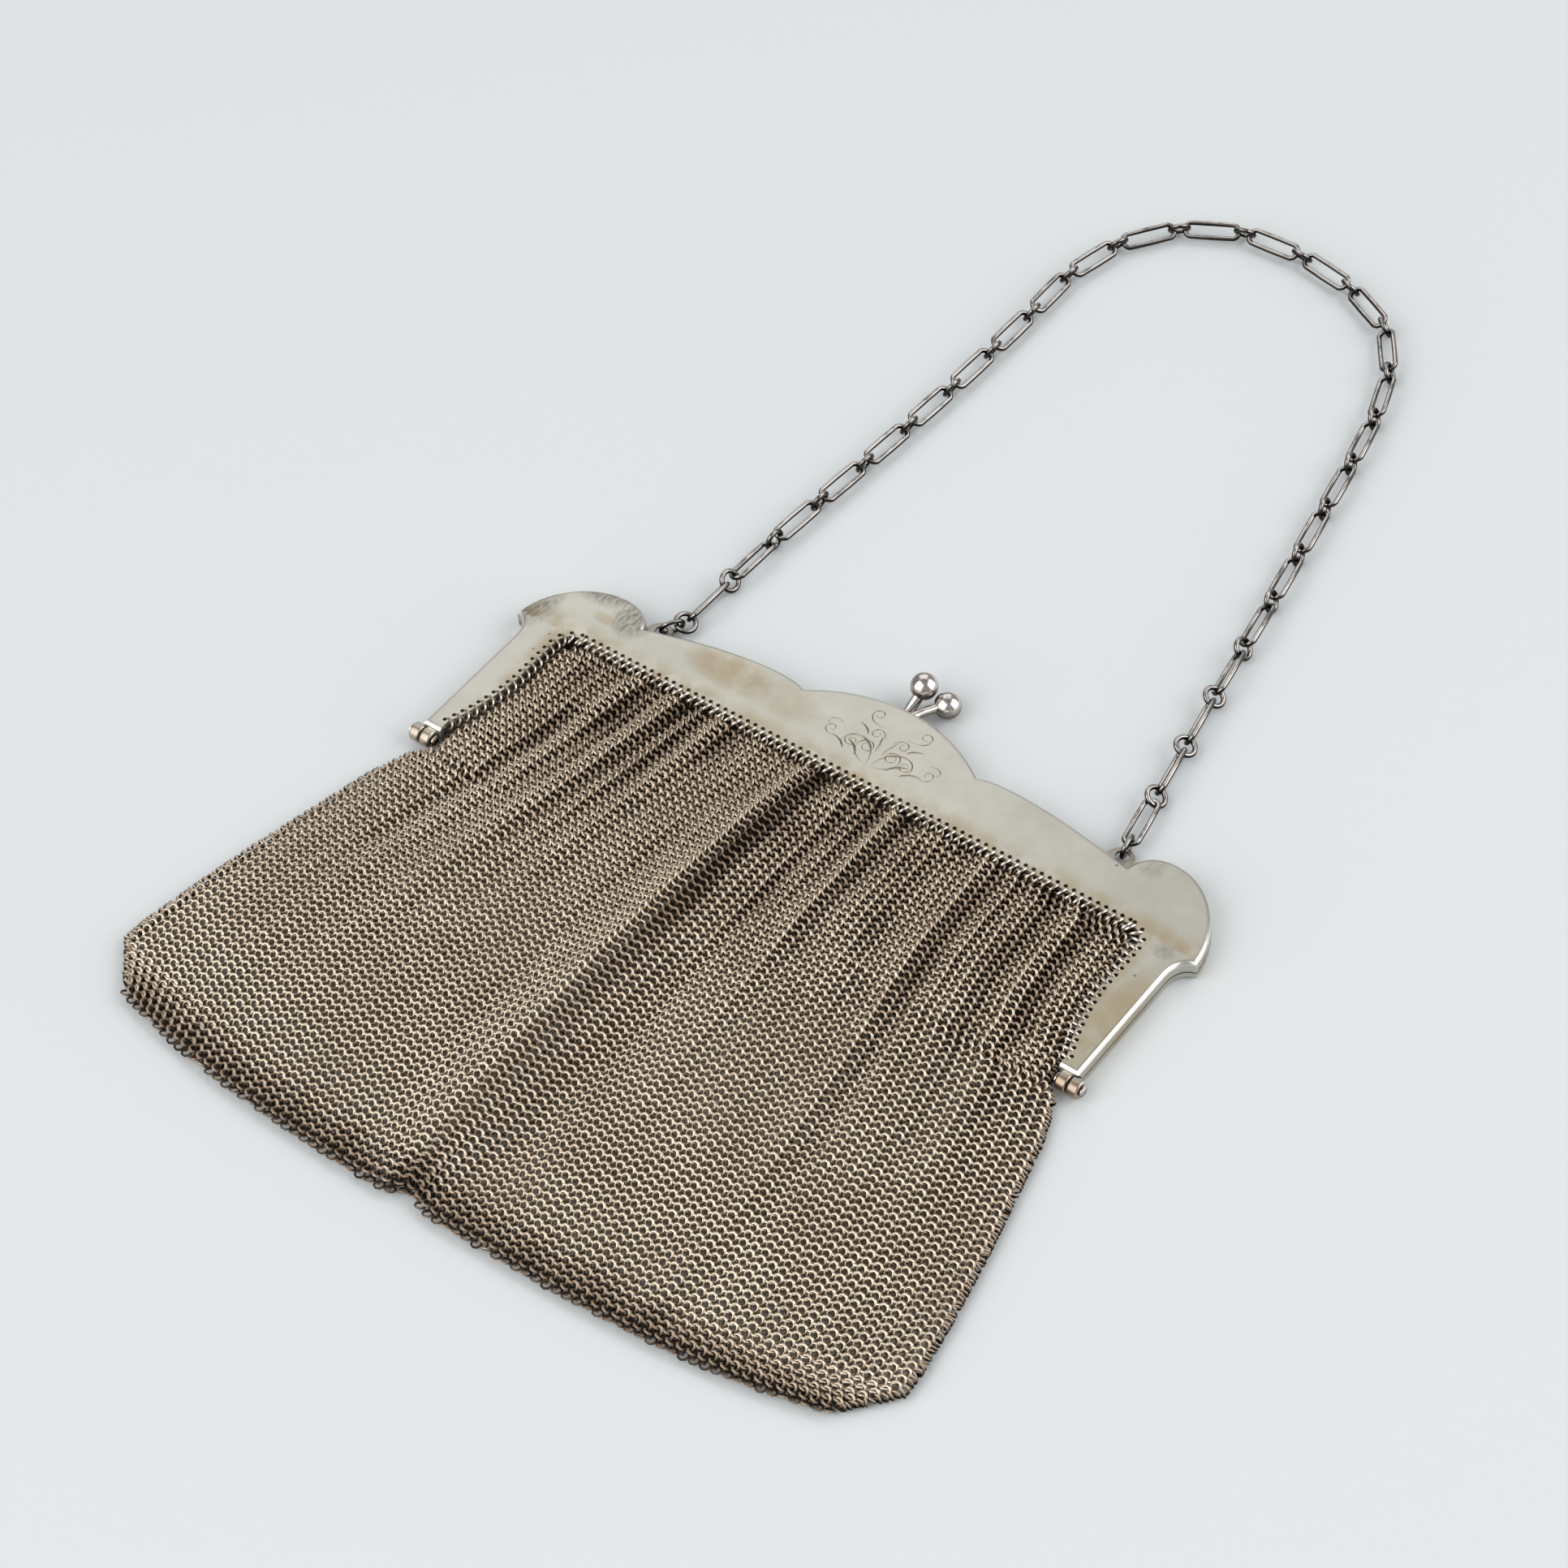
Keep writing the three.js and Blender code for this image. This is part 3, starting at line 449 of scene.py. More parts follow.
def side_outline(lobe_rise, steps):
    """The right half's outer edge: bump, shoulder, lobe, neck and arm, down to the hinge."""
    notch = FRAME_RISE - NOTCH_DROP
    bump_radius = (BUMP_HALF_WIDTH**2 + NOTCH_DROP**2) / (2 * NOTCH_DROP)
    half = math.asin(BUMP_HALF_WIDTH / bump_radius)
    points = []
    for i in range(steps + 1):
        turn = half * i / steps
        points.append(
            (bump_radius * math.sin(turn), FRAME_RISE - bump_radius * (1 - math.cos(turn))))
    lobe_x = FRAME_HALF_WIDTH - LOBE_WIDTH
    lobe_y = lobe_rise - (lobe_rise - LOBE_CORNER_RISE) * LOBE["notch_drop"]
    top_x = lobe_x + LOBE_WIDTH * LOBE["top"]
    points += bezier(
        points[-1],
        (lerp(BUMP_HALF_WIDTH, lobe_x, SHOULDER["near_run"]), notch + NOTCH_DROP * SHOULDER["near_rise"]),
        (lerp(BUMP_HALF_WIDTH, lobe_x, SHOULDER["far_run"]), notch + NOTCH_DROP * SHOULDER["far_rise"]),
        (lobe_x, lobe_y), steps)
    points += bezier(
        (lobe_x, lobe_y),
        (lobe_x + LOBE_WIDTH * LOBE["inner_run"], lerp(lobe_y, lobe_rise, LOBE["inner_rise"])),
        (lobe_x + LOBE_WIDTH * LOBE["crest_run"], lobe_rise),
        (top_x, lobe_rise), steps)
    points += bezier(
        (top_x, lobe_rise),
        (lerp(top_x, FRAME_HALF_WIDTH, LOBE["outer_crest"]), lobe_rise),
        (FRAME_HALF_WIDTH - LOBE_WIDTH * LOBE["outer_run"],
         lerp(LOBE_CORNER_RISE, lobe_rise, LOBE["outer_rise"])),
        (FRAME_HALF_WIDTH, LOBE_CORNER_RISE), steps)
    points += quadratic(
        (FRAME_HALF_WIDTH, LOBE_CORNER_RISE),
        (ARM_HALF_WIDTH, LOBE_CORNER_RISE * NECK["start"]),
        (ARM_HALF_WIDTH, LOBE_CORNER_RISE * NECK["end"]), steps)
    return points + [(ARM_HALF_WIDTH, ARM_END)]


def frame_outline(steps=14, sliver=0):
    """The whole outer edge, raised by sliver a little left of the bump's middle."""
    right = side_outline(LOBE_RISE_RIGHT, steps)
    left = [(-x, y) for x, y in side_outline(LOBE_RISE_LEFT, steps)]
    points = []
    for x, y in left[::-1] + right[1:]:
        raised = sliver * math.exp(-(((x - BACK_SLIVER_X) / BACK_SLIVER_RUN) ** 2))
        points.append((x, y + raised if y > MOUTH_RISE else y))
    return points


def inset_outline(points, distance):
    points = np.array(points)
    before = points - np.roll(points, 1, axis=0)
    after = np.roll(points, -1, axis=0) - points
    before /= np.linalg.norm(before, axis=1)[:, None]
    after /= np.linalg.norm(after, axis=1)[:, None]
    middle = before + after
    middle /= np.linalg.norm(middle, axis=1)[:, None]
    reach = distance / np.maximum(0.5, (middle * before).sum(axis=1))
    inner = points + np.stack([middle[:, 1], -middle[:, 0]], axis=1) * reach[:, None]
    return list(map(tuple, inner))


def mouth_side(steps=10):
    """Inner edge of the right arm and corner, from the hinge up."""
    arm_inner = ARM_HALF_WIDTH - ARM_END_WIDTH
    start = (arm_inner, ARM_END + MOUTH_RISE * ARM_TAPER["start_rise"])
    points = [(arm_inner, ARM_END - 3 * BARREL_RADIUS), start]
    points += quadratic(
        start,
        (MOUTH_HALF_WIDTH * (1 + ARM_TAPER["bow"]), MOUTH_RISE * ARM_TAPER["bow_rise"]),
        (MOUTH_HALF_WIDTH, MOUTH_RISE * ARM_TAPER["end_rise"]), steps)
    points.append((MOUTH_HALF_WIDTH, MOUTH_RISE - MOUTH_CORNER))
    points += quadratic(
        points[-1], (MOUTH_HALF_WIDTH, MOUTH_RISE), (MOUTH_HALF_WIDTH - MOUTH_CORNER, MOUTH_RISE), steps)
    return points


def mouth_outline(steps=10):
    right = mouth_side(steps)
    return right + [(-x, y) for x, y in right[::-1]]


def rim_at(x):
    points = [p for p in frame_outline() if p[1] > LOBE_CORNER_RISE]
    return float(np.interp(x, [p[0] for p in points], [p[1] for p in points]))


def travelled_along(line):
    """How far along a line each of its points is."""
    steps = np.linalg.norm(np.diff(line, axis=0), axis=1)
    return np.concatenate([[0], np.cumsum(steps)])


def stitch_places():
    """Each stitch's place along the mouth, and the direction from the mouth into the plate there."""
    straight = MOUTH_HALF_WIDTH - MOUTH_CORNER
    places = [((x, MOUTH_RISE), (0.0, 1.0)) for x in np.linspace(-straight, straight, STITCHES_ACROSS)]
    side = np.array(mouth_side())
    length = travelled_along(side)
    nearby = 0.1

    def on_side(at):
        return np.array([np.interp(at, length, side[:, k]) for k in (0, 1)])

    for at in np.linspace(length[1], length[-1] - STITCH_CORNER_GAP, STITCHES_PER_SIDE):
        x, y = on_side(at)
        ahead = unit(on_side(at + nearby) - on_side(at - nearby))
        places.append(((x, y), (ahead[1], -ahead[0])))
        places.append(((-x, y), (-ahead[1], -ahead[0])))
    return places


def stitch_holes(low, high):
    """All the holes along the mouth as one cutting tool."""
    deselect()
    bpy.ops.mesh.primitive_cylinder_add(vertices=10, radius=STITCH_HOLE_RADIUS, depth=high - low)
    tool = bpy.context.object
    base = np.array([v.co for v in tool.data.vertices])
    middle = (low + high) / 2
    corners = [[(x + out[0] * STITCH_HOLE_INSET, y + out[1] * STITCH_HOLE_INSET, middle)]
               for (x, y), out in stitch_places()]
    repeat_mesh(tool, base[None] + np.array(corners))
    return tool


def repeat_mesh(obj, places):
    """Turns a mesh into many copies of itself: places holds each copy's vertices.

    Each copy's UV map gets a cell of its own in one grid, so that the whole piece can be baked.
    """
    source = obj.data
    unwrapped = np.zeros((len(source.loops), 2), dtype=np.float32)
    source.uv_layers.active.data.foreach_get("uv", unwrapped.ravel())
    faces = [tuple(polygon.vertices) for polygon in source.polygons]
    count = len(source.vertices)
    loops = np.concatenate([np.array(face) for face in faces])
    sizes = np.array([len(face) for face in faces])
    copies = len(places)
    vertices = np.asarray(places, dtype=np.float32).reshape(-1, 3)
    all_loops = (loops[None] + np.arange(copies)[:, None] * count).ravel()
    all_sizes = np.tile(sizes, copies)
    starts = np.concatenate([[0], np.cumsum(all_sizes)[:-1]])
    mesh = bpy.data.meshes.new(source.name + "_copies")
    mesh.vertices.add(len(vertices))
    mesh.vertices.foreach_set("co", vertices.ravel())
    mesh.loops.add(len(all_loops))
    mesh.loops.foreach_set("vertex_index", all_loops.astype(np.int32))
    mesh.polygons.add(len(all_sizes))
    mesh.polygons.foreach_set("loop_start", starts.astype(np.int32))
    mesh.polygons.foreach_set("loop_total", all_sizes.astype(np.int32))
    mesh.update(calc_edges=True)
    grid = math.ceil(math.sqrt(copies))
    cells = np.stack(np.divmod(np.arange(copies), grid), axis=1)[:, None]
    baking = mesh.uv_layers.new(name="OFBake")
    margin = 0.04
    inset = margin + (1 - 2 * margin) * np.clip(unwrapped, 0, 1)[None]
    baking.data.foreach_set("uv", ((cells + inset) / grid).astype(np.float32).ravel())
    obj.data = mesh
    bpy.data.meshes.remove(source)


# Frame halves

def frame_shell(low, high, face_up):
    """One plate with its rim, its face above or below."""
    spare = 1 + high - low
    if face_up:
        body = slab(frame_outline(), low - spare, high, EDGE_ROUND)
        pocket = slab(inset_outline(frame_outline(4), RIM_WALL), low - 2 * spare, high - PLATE)
        seam = block((-CUT_REACH, -CUT_REACH, low - 4 * spare), (CUT_REACH, CUT_REACH, low))
    else:
        body = slab(frame_outline(sliver=BACK_SLIVER), low, high + spare, EDGE_ROUND)
        pocket = slab(inset_outline(frame_outline(4), RIM_WALL), low + PLATE, high + 2 * spare)
        seam = block((-CUT_REACH, -CUT_REACH, high), (CUT_REACH, CUT_REACH, high + 4 * spare))
    cut(body, seam)
    cut(body, pocket)
    cut(body, slab(mouth_outline(), low - 3 * spare, high + 3 * spare))
    cut(body, stitch_holes(low - spare, high + spare))
    return body


KNUCKLE_OUTER_END = ARM_HALF_WIDTH + BARREL_OVERHANG
KNUCKLE_OUTER_START = KNUCKLE_OUTER_END - KNUCKLE_LENGTH
KNUCKLE_INNER_END = KNUCKLE_OUTER_START - SEAM
KNUCKLE_INNER_START = KNUCKLE_INNER_END - KNUCKLE_LENGTH


def add_knuckles(shell, own, other):
    """Gives one half its own knuckles, and room for the other half's."""
    knuckles = []
    for side in (-1, 1):
        cut(shell, barrel_rod(side * (other[0] - SEAM), side * (other[1] + SEAM), BARREL_RADIUS + SEAM))
        knuckle = barrel_rod(side * own[0], side * own[1], BARREL_RADIUS, BARREL_ROUND)
        cut(knuckle, barrel_rod(side * (own[0] - 1), side * (own[1] + 1), PIN_BORE))
        knuckles.append(knuckle)
    return join(shell, *knuckles)


def ball_on_stem(stem_x, stem_height, ball_x, ball_height, flare):
    """A ball on a stem that leaves the rim level and bends to the ball, widening towards it by flare."""
    root = Vector((stem_x, FRAME_RISE - SOLDER_DEPTH, stem_height))
    knee = Vector((stem_x, FRAME_RISE + STEM_KNEE, stem_height))
    centre = Vector((ball_x, FRAME_RISE + BALL_REACH, ball_height))
    deselect()
    bpy.ops.mesh.primitive_uv_sphere_add(segments=48, ring_count=24, radius=BALL_RADIUS, location=centre)
    ball = bpy.context.object
    deselect()
    bpy.ops.curve.primitive_bezier_curve_add()
    stem = bpy.context.object
    first, last = stem.data.splines[0].bezier_points
    first.co = root
    first.handle_left = root
    first.handle_right = lerp(root, knee, 2 / 3)
    first.radius = 1
    last.co = centre
    last.handle_left = lerp(centre, knee, 2 / 3)
    last.handle_right = centre
    last.radius = flare
    stem.data.bevel_depth = STEM_RADIUS
    stem.data.bevel_resolution = 6
    stem.data.resolution_u = 14
    stem.data.use_fill_caps = True
    use(stem)
    bpy.ops.object.convert(target="MESH")
    return join(bpy.context.object, ball)


def lug(x):
    """A flat ear with a hole, soldered to the back half's rim."""
    root = rim_at(x) - SOLDER_DEPTH
    top = rim_at(x) + LUG_HEIGHT
    half = LUG_WIDTH / 2
    side_rise = lerp(root, top, LUG_CURVE["rise"])
    run = half * LUG_CURVE["run"]
    points = [(x + half, root)]
    points += bezier((x + half, root), (x + half, side_rise), (x + run, top), (x, top), 12)
    points += bezier((x, top), (x - run, top), (x - half, side_rise), (x - half, root), 12)
    ear = slab(points, BACK_DEPTH - LUG_THICKNESS, BACK_DEPTH, LUG_ROUND, 3)
    deselect()
    bpy.ops.mesh.primitive_cylinder_add(
        vertices=24, radius=LUG_HOLE_RADIUS, depth=4,
        location=(x, rim_at(x) + LUG_HOLE_RISE, BACK_DEPTH))
    cut(ear, bpy.context.object)
    return ear


FRONT_BALL_HEIGHT = BALL_RADIUS + BALL_LIFT
BALL_SPREAD = FRONT_BALL_X - BACK_BALL_X
BALL_CROSSING = math.sqrt((2 * BALL_RADIUS + BALL_CLEARANCE) ** 2 - BALL_SPREAD**2)


# Ring mesh on the bag's surface

def table_at(along, column):
    """A column of the bag's table at a share of the bag's length."""
    return np.interp(along, BAG_ALONG, column)


def room_at(y):
    """The half width that the arms and knuckles leave for the bag."""
    inner_edge = KNUCKLE_INNER_START - 1
    below = -BARREL_DROP - BARREL_RADIUS - BAG_SIDE_GAP - y
    side = np.array(mouth_side(4))
    arm = np.minimum(inner_edge, np.interp(y, side[:, 1], side[:, 0]))
    return np.where(below > 0, inner_edge - BAG_SIDE_GAP + below * BAG_SPREAD, arm - BAG_SIDE_GAP)


def bag_half_width(along):
    side_y = BAG_TOP - along * (BAG_LENGTH - BAG_CORNER_LIFT)
    return np.minimum(BAG_HALF_WIDTH * table_at(along, BAG_WIDTH), room_at(side_y))


def eased_half_width(along):
    """The bag's half width without its sudden step at the hinges, for the columns away from the sides."""
    shifts = np.linspace(-EASING, EASING, EASING_STEPS)
    nearby = [bag_half_width(np.clip(along + shift, 0, 1)) for shift in shifts]
    return sum(nearby) / len(nearby)


def fold_at(across, along):
    """Rise of the long folds, as a share of the bag's height."""
    total = 0
    for place, rise, breadth, start, end in FOLDS:
        middle = (start + end) / 2
        half = (end - start) / 2
        fade = np.sqrt(np.maximum(0, 1 - ((along - middle) / half) ** 4))
        total = total + rise * fade * np.exp(-(((across - place) / breadth) ** 2))
    return total


def gather_at(across, along):
    """Rise of the small gathers in millimetres: sharpened waves of uneven height, with small puckers."""
    fade = np.exp(-((along / GATHER_FADE) ** 2)) + GATHER_LEFT
    total = 0
    for waves, height, phase in GATHERS:
        wave = np.sin(2 * math.pi * waves * across + phase + GATHER_SLANT * along)
        total = total + height * (2 * ((1 + wave) / 2) ** GATHER_SHARPNESS - 1)
    wave = np.sin(UNEVEN["across"] * across + UNEVEN["along"] * along + UNEVEN["phase"])
    uneven = lerp(UNEVEN["least"], UNEVEN["most"], (1 + wave) / 2)
    pucker = PUCKER["height"]
    for per_across, per_along, phase in zip(PUCKER["across"], PUCKER["along"], PUCKER["phase"]):
        pucker = pucker * np.sin(per_across * across + per_along * along + phase)
    return (total * uneven + pucker) * fade


def front_height(across, along):
    """Height of the bag's upper side, with its long folds."""
    crown = table_at(along, BAG_CROWN) * BAG_HEIGHT
    side = table_at(along, BAG_SIDE) * BAG_HEIGHT
    level = side + (crown - side) * (1 - np.abs(across) ** 5)
    height = level + fold_at(across, along) * BAG_HEIGHT
    return np.maximum(BAG_EDGE_HEIGHT, height)


def sheet_place(across, along, front):
    """Middle of the ring sheet, on the bag's front or on the side that it lies on."""
    notch = BAG_NOTCH * np.exp(-(((across - NOTCH_ACROSS) / NOTCH_BREADTH) ** 2))
    length = BAG_LENGTH - BAG_CORNER_LIFT * np.abs(across) ** 3 - notch * along**6
    eased = eased_half_width(along)
    half_width = lerp(eased, bag_half_width(along), np.abs(across) ** 3)
    x = across * (half_width - SHEET_SIDE_INSET)
    y = BAG_TOP + SHEET_TOP_OVERLAP - along * (length + SHEET_END_OVERHANG)
    if front:
        z = np.maximum(front_height(across, along) - SHEET_HALF, SHEET_LOWEST)
        z = z + gather_at(across, along) * (1 - np.abs(across) ** 6) * GATHER_SHARE
    else:
        z = np.full_like(x, BACK_SHEET_HEIGHT)
    return np.stack([x, y, z], axis=-1)


def sheet_frames(across, along, front):
    """Each place, its directions across, up towards the mouth and outwards, and the columns' spacing."""
    step = 0.002
    place = sheet_place(across, along, front)
    right = sheet_place(across + step, along, front) - sheet_place(across - step, along, front)
    up = sheet_place(across, along - step, front) - sheet_place(across, along + step, front)
    spacing = np.linalg.norm(right, axis=-1) / (step * MESH_COLUMNS)
    right = unit(right)
    out = unit(np.cross(right, up))
    if not front:
        out = -out
    up = unit(np.cross(out, right) if front else np.cross(right, out))
    return place, right, up, out, spacing


def ring_primitive(radius, wire, steps, sides):
    deselect()
    bpy.ops.mesh.primitive_torus_add(
        major_radius=radius, minor_radius=wire, major_segments=steps, minor_segments=sides)
    return bpy.context.object


def mesh_columns():
    """Each column's place across the bag, from -1 to 1."""
    return (np.arange(MESH_COLUMNS) - (MESH_COLUMNS - 1) / 2) / (MESH_COLUMNS / 2)


def ring_rows(front, rng):
    """Every mesh ring's middle, two in-plane axes, outwards, place across the bag, and painted shade.

    One row of rings leans up, and the next, half a column over, leans down and lies under its neighbours.
    """
    columns = mesh_columns()
    rows = (np.arange(MESH_ROWS) + 0.5) / MESH_ROWS
    between_columns = (columns[:-1] + columns[1:]) / 2
    between_rows = rows + 0.5 / MESH_ROWS
    parts = []
    for lean, xs, ys in ((MESH_LEAN, columns, rows), (-MESH_LEAN, between_columns, between_rows)):
        across, along = (grid.ravel() for grid in np.meshgrid(xs, ys))
        place, right, up, out, spacing = sheet_frames(across, along, front)
        tilt = np.radians(lean + rng.normal(0, RING_TURN_SPREAD[0], len(across)))[:, None]
        crowding = np.clip(spacing / (2 * (MESH_RING_RADIUS + MESH_WIRE_RADIUS)), 0.5, 1)
        uneven = np.radians(rng.normal(0, RING_TURN_SPREAD[1], len(across)))
        roll = (np.sign(lean) * np.arccos(crowding) + uneven)[:, None]
        across_axis = right * np.cos(roll) + out * np.sin(roll)
        rise = unit(out - across_axis * (out * across_axis).sum(axis=-1, keepdims=True))
        up_axis = unit(np.cross(rise, across_axis))
        up_axis = up_axis * np.sign((up_axis * up).sum(axis=-1, keepdims=True))
        leaning = up_axis * np.cos(tilt) + rise * np.sin(tilt)
        under = MESH_UNDER if lean < 0 else 0
        place = place + rng.normal(0, RING_PLACE_SPREAD, place.shape) - out * under
        # Painted shade just below the mouth
        near_top = np.exp(-((along / TOP_SHADE_LENGTH) ** 2))
        # Painted shade and tarnish at the bottom edge
        near_end = np.exp(-(((1 - along) / END_SHADE_LENGTH) ** 2))
        # Painted light and shade: slopes that face right are painted darker, slopes that face left lighter
        facing = right[:, 2]
        painted_slope_shade = -FOLD_SHADE * np.abs(facing) ** FOLD_SHADE_CURVE
        slope_painted_light = np.where(facing < 0, painted_slope_shade, SLOPE_LIGHT * facing) if front else 0
        # Painted light and shade: crests of gathers and folds lighter, their hollows darker
        crest_and_hollow_painted_light = 0
        if front:
            crest_and_hollow_painted_light = gather_at(across, along) * GATHER_PAINTED_LIGHT + fold_at(across, along) * FOLD_PAINTED_LIGHT
        # Each ring's painted light and shade, summed: slopes, crests and hollows, rows lying under, below
        # the mouth, and at the bottom edge with tarnish
        shade = slope_painted_light + crest_and_hollow_painted_light - under - TOP_SHADE * near_top - END_SHADE * near_end
        parts.append((place, across_axis, leaning, out, across, shade))
    return [np.concatenate([part[k] for part in parts]) for k in range(6)]


def ring_piece(name, rings, steps, finish):
    """Mesh rings as one piece, from each one's middle, two in-plane axes, outwards and painted shade."""
    middle, first, second, out, shades = rings
    obj = ring_primitive(MESH_RING_RADIUS, MESH_WIRE_RADIUS, steps, MESH_WIRE_SIDES)
    base = np.array([v.co for v in obj.data.vertices])
    third = np.cross(first, second)
    offsets = (base[None, :, 0:1] * first[:, None] + base[None, :, 1:2] * second[:, None]
               + base[None, :, 2:3] * third[:, None])
    # Painted shade: each vertex's depth in the weave, plus its ring's painted shade, sets how dark the wire
    # is painted
    depth = (offsets * out[:, None]).sum(axis=-1) + shades[:, None]
    repeat_mesh(obj, middle[:, None] + offsets)
    shade = obj.data.attributes.new("ring_depth", "FLOAT", "POINT")
    shade.data.foreach_set("value", depth.astype(np.float32).ravel())
    finish_piece(obj, name, "mesh_bag", finish, 180)


# Shader maths

class Value:
    """A shader output that takes Python arithmetic."""

    def __init__(self, nodes, socket):
        self.nodes = nodes
        self.socket = socket

    def math(self, operation, *others):
        return self.nodes.add("ShaderNodeMath", {"operation": operation}, dict(enumerate((self, *others))))

    def __add__(self, other):
        return self.math("ADD", other)

    __radd__ = __add__

    def __mul__(self, other):
        return self.math("MULTIPLY", other)

    def __sub__(self, other):
        return self.math("SUBTRACT", other)

    def __rsub__(self, other):
        return (self * -1) + other

    def __truediv__(self, other):
        return self.math("DIVIDE", other)

    def __abs__(self):
        return self.math("ABSOLUTE")

    def larger(self, other):
        return self.math("MAXIMUM", other)

    def between(self, low, high):
        """0 at low and below, 1 at high and above, eased between."""
        inputs = {"Value": self, "From Min": low, "From Max": high}
        return self.nodes.add("ShaderNodeMapRange", {"interpolation_type": "SMOOTHSTEP"}, inputs)


class Finish:
    """A material's nodes, made one at a time."""

    def __init__(self, name):
        self.material = bpy.data.materials.new(name)
        self.material.use_nodes = True
        self.tree = self.material.node_tree
        self.shader = self.tree.nodes["Principled BSDF"]

    def add(self, kind, settings=None, inputs=None, output=0):
        node = self.tree.nodes.new(kind)
        for key, value in (settings or {}).items():
            setattr(node, key, value)
        for key, value in (inputs or {}).items():
            self.feed(node.inputs[key], value)
        return Value(self, node.outputs[output])

    def feed(self, socket, value):
        if isinstance(value, Value):
            self.tree.links.new(value.socket, socket)
        elif isinstance(value, tuple) and len(value) == 3 and socket.type == "RGBA":
            socket.default_value = (*value, 1)
        else:
            socket.default_value = value

    def set(self, **inputs):
        for key, value in inputs.items():
            self.feed(self.shader.inputs[key.replace("_", " ")], value)
        return self.material

    def place(self):
        """The place on the object, in metres."""
        return self.add("ShaderNodeTexCoord", output=3)

    def upward(self):
        """1 where a surface faces up, 0 where it stands upright, and -1 where it faces down."""
        return self.xyz(self.add("ShaderNodeNewGeometry", output=1))[2]

    def xyz(self, vector):
        split = self.add("ShaderNodeSeparateXYZ", inputs={"Vector": vector})
        return [Value(self, output) for output in split.socket.node.outputs]

    def noise(self, vector, scale, detail=4, roughness=0.55, stretch=(1, 1, 1)):
        placed = self.add("ShaderNodeMapping", inputs={"Vector": vector, "Scale": stretch})
        inputs = {"Vector": placed, "Scale": scale, "Detail": detail, "Roughness": roughness}
        return self.add("ShaderNodeTexNoise", inputs=inputs)

    def mix(self, share, a, b):
        inputs = {"Factor": share, 6: a, 7: b}
        return self.add("ShaderNodeMix", {"data_type": "RGBA"}, inputs, output=2)

    def bump(self, height, strength, distance):
        inputs = {"Height": height, "Strength": strength, "Distance": distance}
        return self.add("ShaderNodeBump", inputs=inputs)


def patches(x, y, rows):
    """Round marks from a table: each is its strength at its middle, and fades to 0 at its edge."""
    total = None
    for middle_x, middle_y, half_width, half_height, strength in rows:
        dx = (x - middle_x) / half_width
        dy = (y - middle_y) / half_height
        patch = (1 - (dx * dx + dy * dy).between(0.1, 1)) * strength
        total = patch if total is None else total.larger(patch)
    return total


def satin_silver():
    """Satin nickel silver plate: warm grey, darker towards the right, brown tarnish along the stitch holes,
    dark lobe edges that are partly worn and partly a painted dark reflection, and a painted highlight on the
    rounded edges.
    """
    finish = Finish("satin_silver")
    place = finish.place()
    x, y = finish.xyz(place)[:2]
    x = x / MM
    y = (y - HINGE_Y) / MM
    cloud = finish.noise(place, 60, 5, 0.6)
    mottle = finish.noise(place, 190, 6, 0.65)
    speck = finish.noise(place, 900, 3, 0.7)
    scratches = finish.noise(place, 1900, 4, 0.75, (1, 0.3, 1))
    above_mouth = 1 - y.between(MOUTH_RISE + 0.6, MOUTH_RISE + 5)
    beside_mouth = 1 - abs(x).between(MOUTH_HALF_WIDTH + 0.8, MOUTH_HALF_WIDTH + 4)
    top_band = y.between(MOUTH_RISE - 1, MOUTH_RISE)
    by_holes = (above_mouth * top_band + beside_mouth * (1 - top_band)) * mottle.between(0.3, 0.62)
    stain = patches(x, y, STAINS) * mottle.between(0.1, 0.6)
    tarnish = (stain * 0.72).larger(by_holes * 0.7)
    # Wear on the lobe edges, partly a painted dark reflection of their curved-down tops
    wear_and_painted_shade = patches(x, y, WORN_AND_SHADED_EDGES) * (0.3 + scratches.between(0.4, 0.6) * 0.7)
    pits = patches(x, y, PITS).larger((speck * mottle).between(0.42, 0.5))
    hinge = 1 - y.between(-1, 0.5)
    upward = finish.upward()
    # Painted highlight: the rounded edges, which slope up, are painted near white and smoother
    edge_painted_highlight = upward.between(0.15, 0.5) * (1 - upward.between(0.85, 0.98)) * (1 - hinge)
    # Darker towards the right, with a little random tone
    rightward_darkening = x.between(-15, 70) * 0.27 + mottle.between(0.35, 0.65) * 0.06
    base = finish.mix(cloud.between(0.3, 0.7), PLATE_GREY, PLATE_LIGHT)
    base = finish.mix(rightward_darkening, base, PLATE_DARKER)
    base = finish.mix(tarnish, base, TARNISH_BROWN)
    base = finish.mix(hinge * (0.4 + cloud.between(0.35, 0.6) * 0.35), base, HINGE_BROWN)
    base = finish.mix((wear_and_painted_shade * 0.62).larger(pits * 0.7), base, DARK_WEAR_PITS_AND_SHADE)
    base = finish.mix(edge_painted_highlight * 0.65, base, EDGE_HIGHLIGHT)
    roughness = 0.34 + mottle * 0.12 + speck * 0.06 + wear_and_painted_shade * 0.12 - hinge * 0.1 - edge_painted_highlight * 0.14
    bump = finish.bump(scratches * 0.5 + speck * 0.5 - pits, 0.14, 0.00004)
    return finish.set(Base_Color=base, Metallic=1.0, Roughness=roughness, Normal=bump)


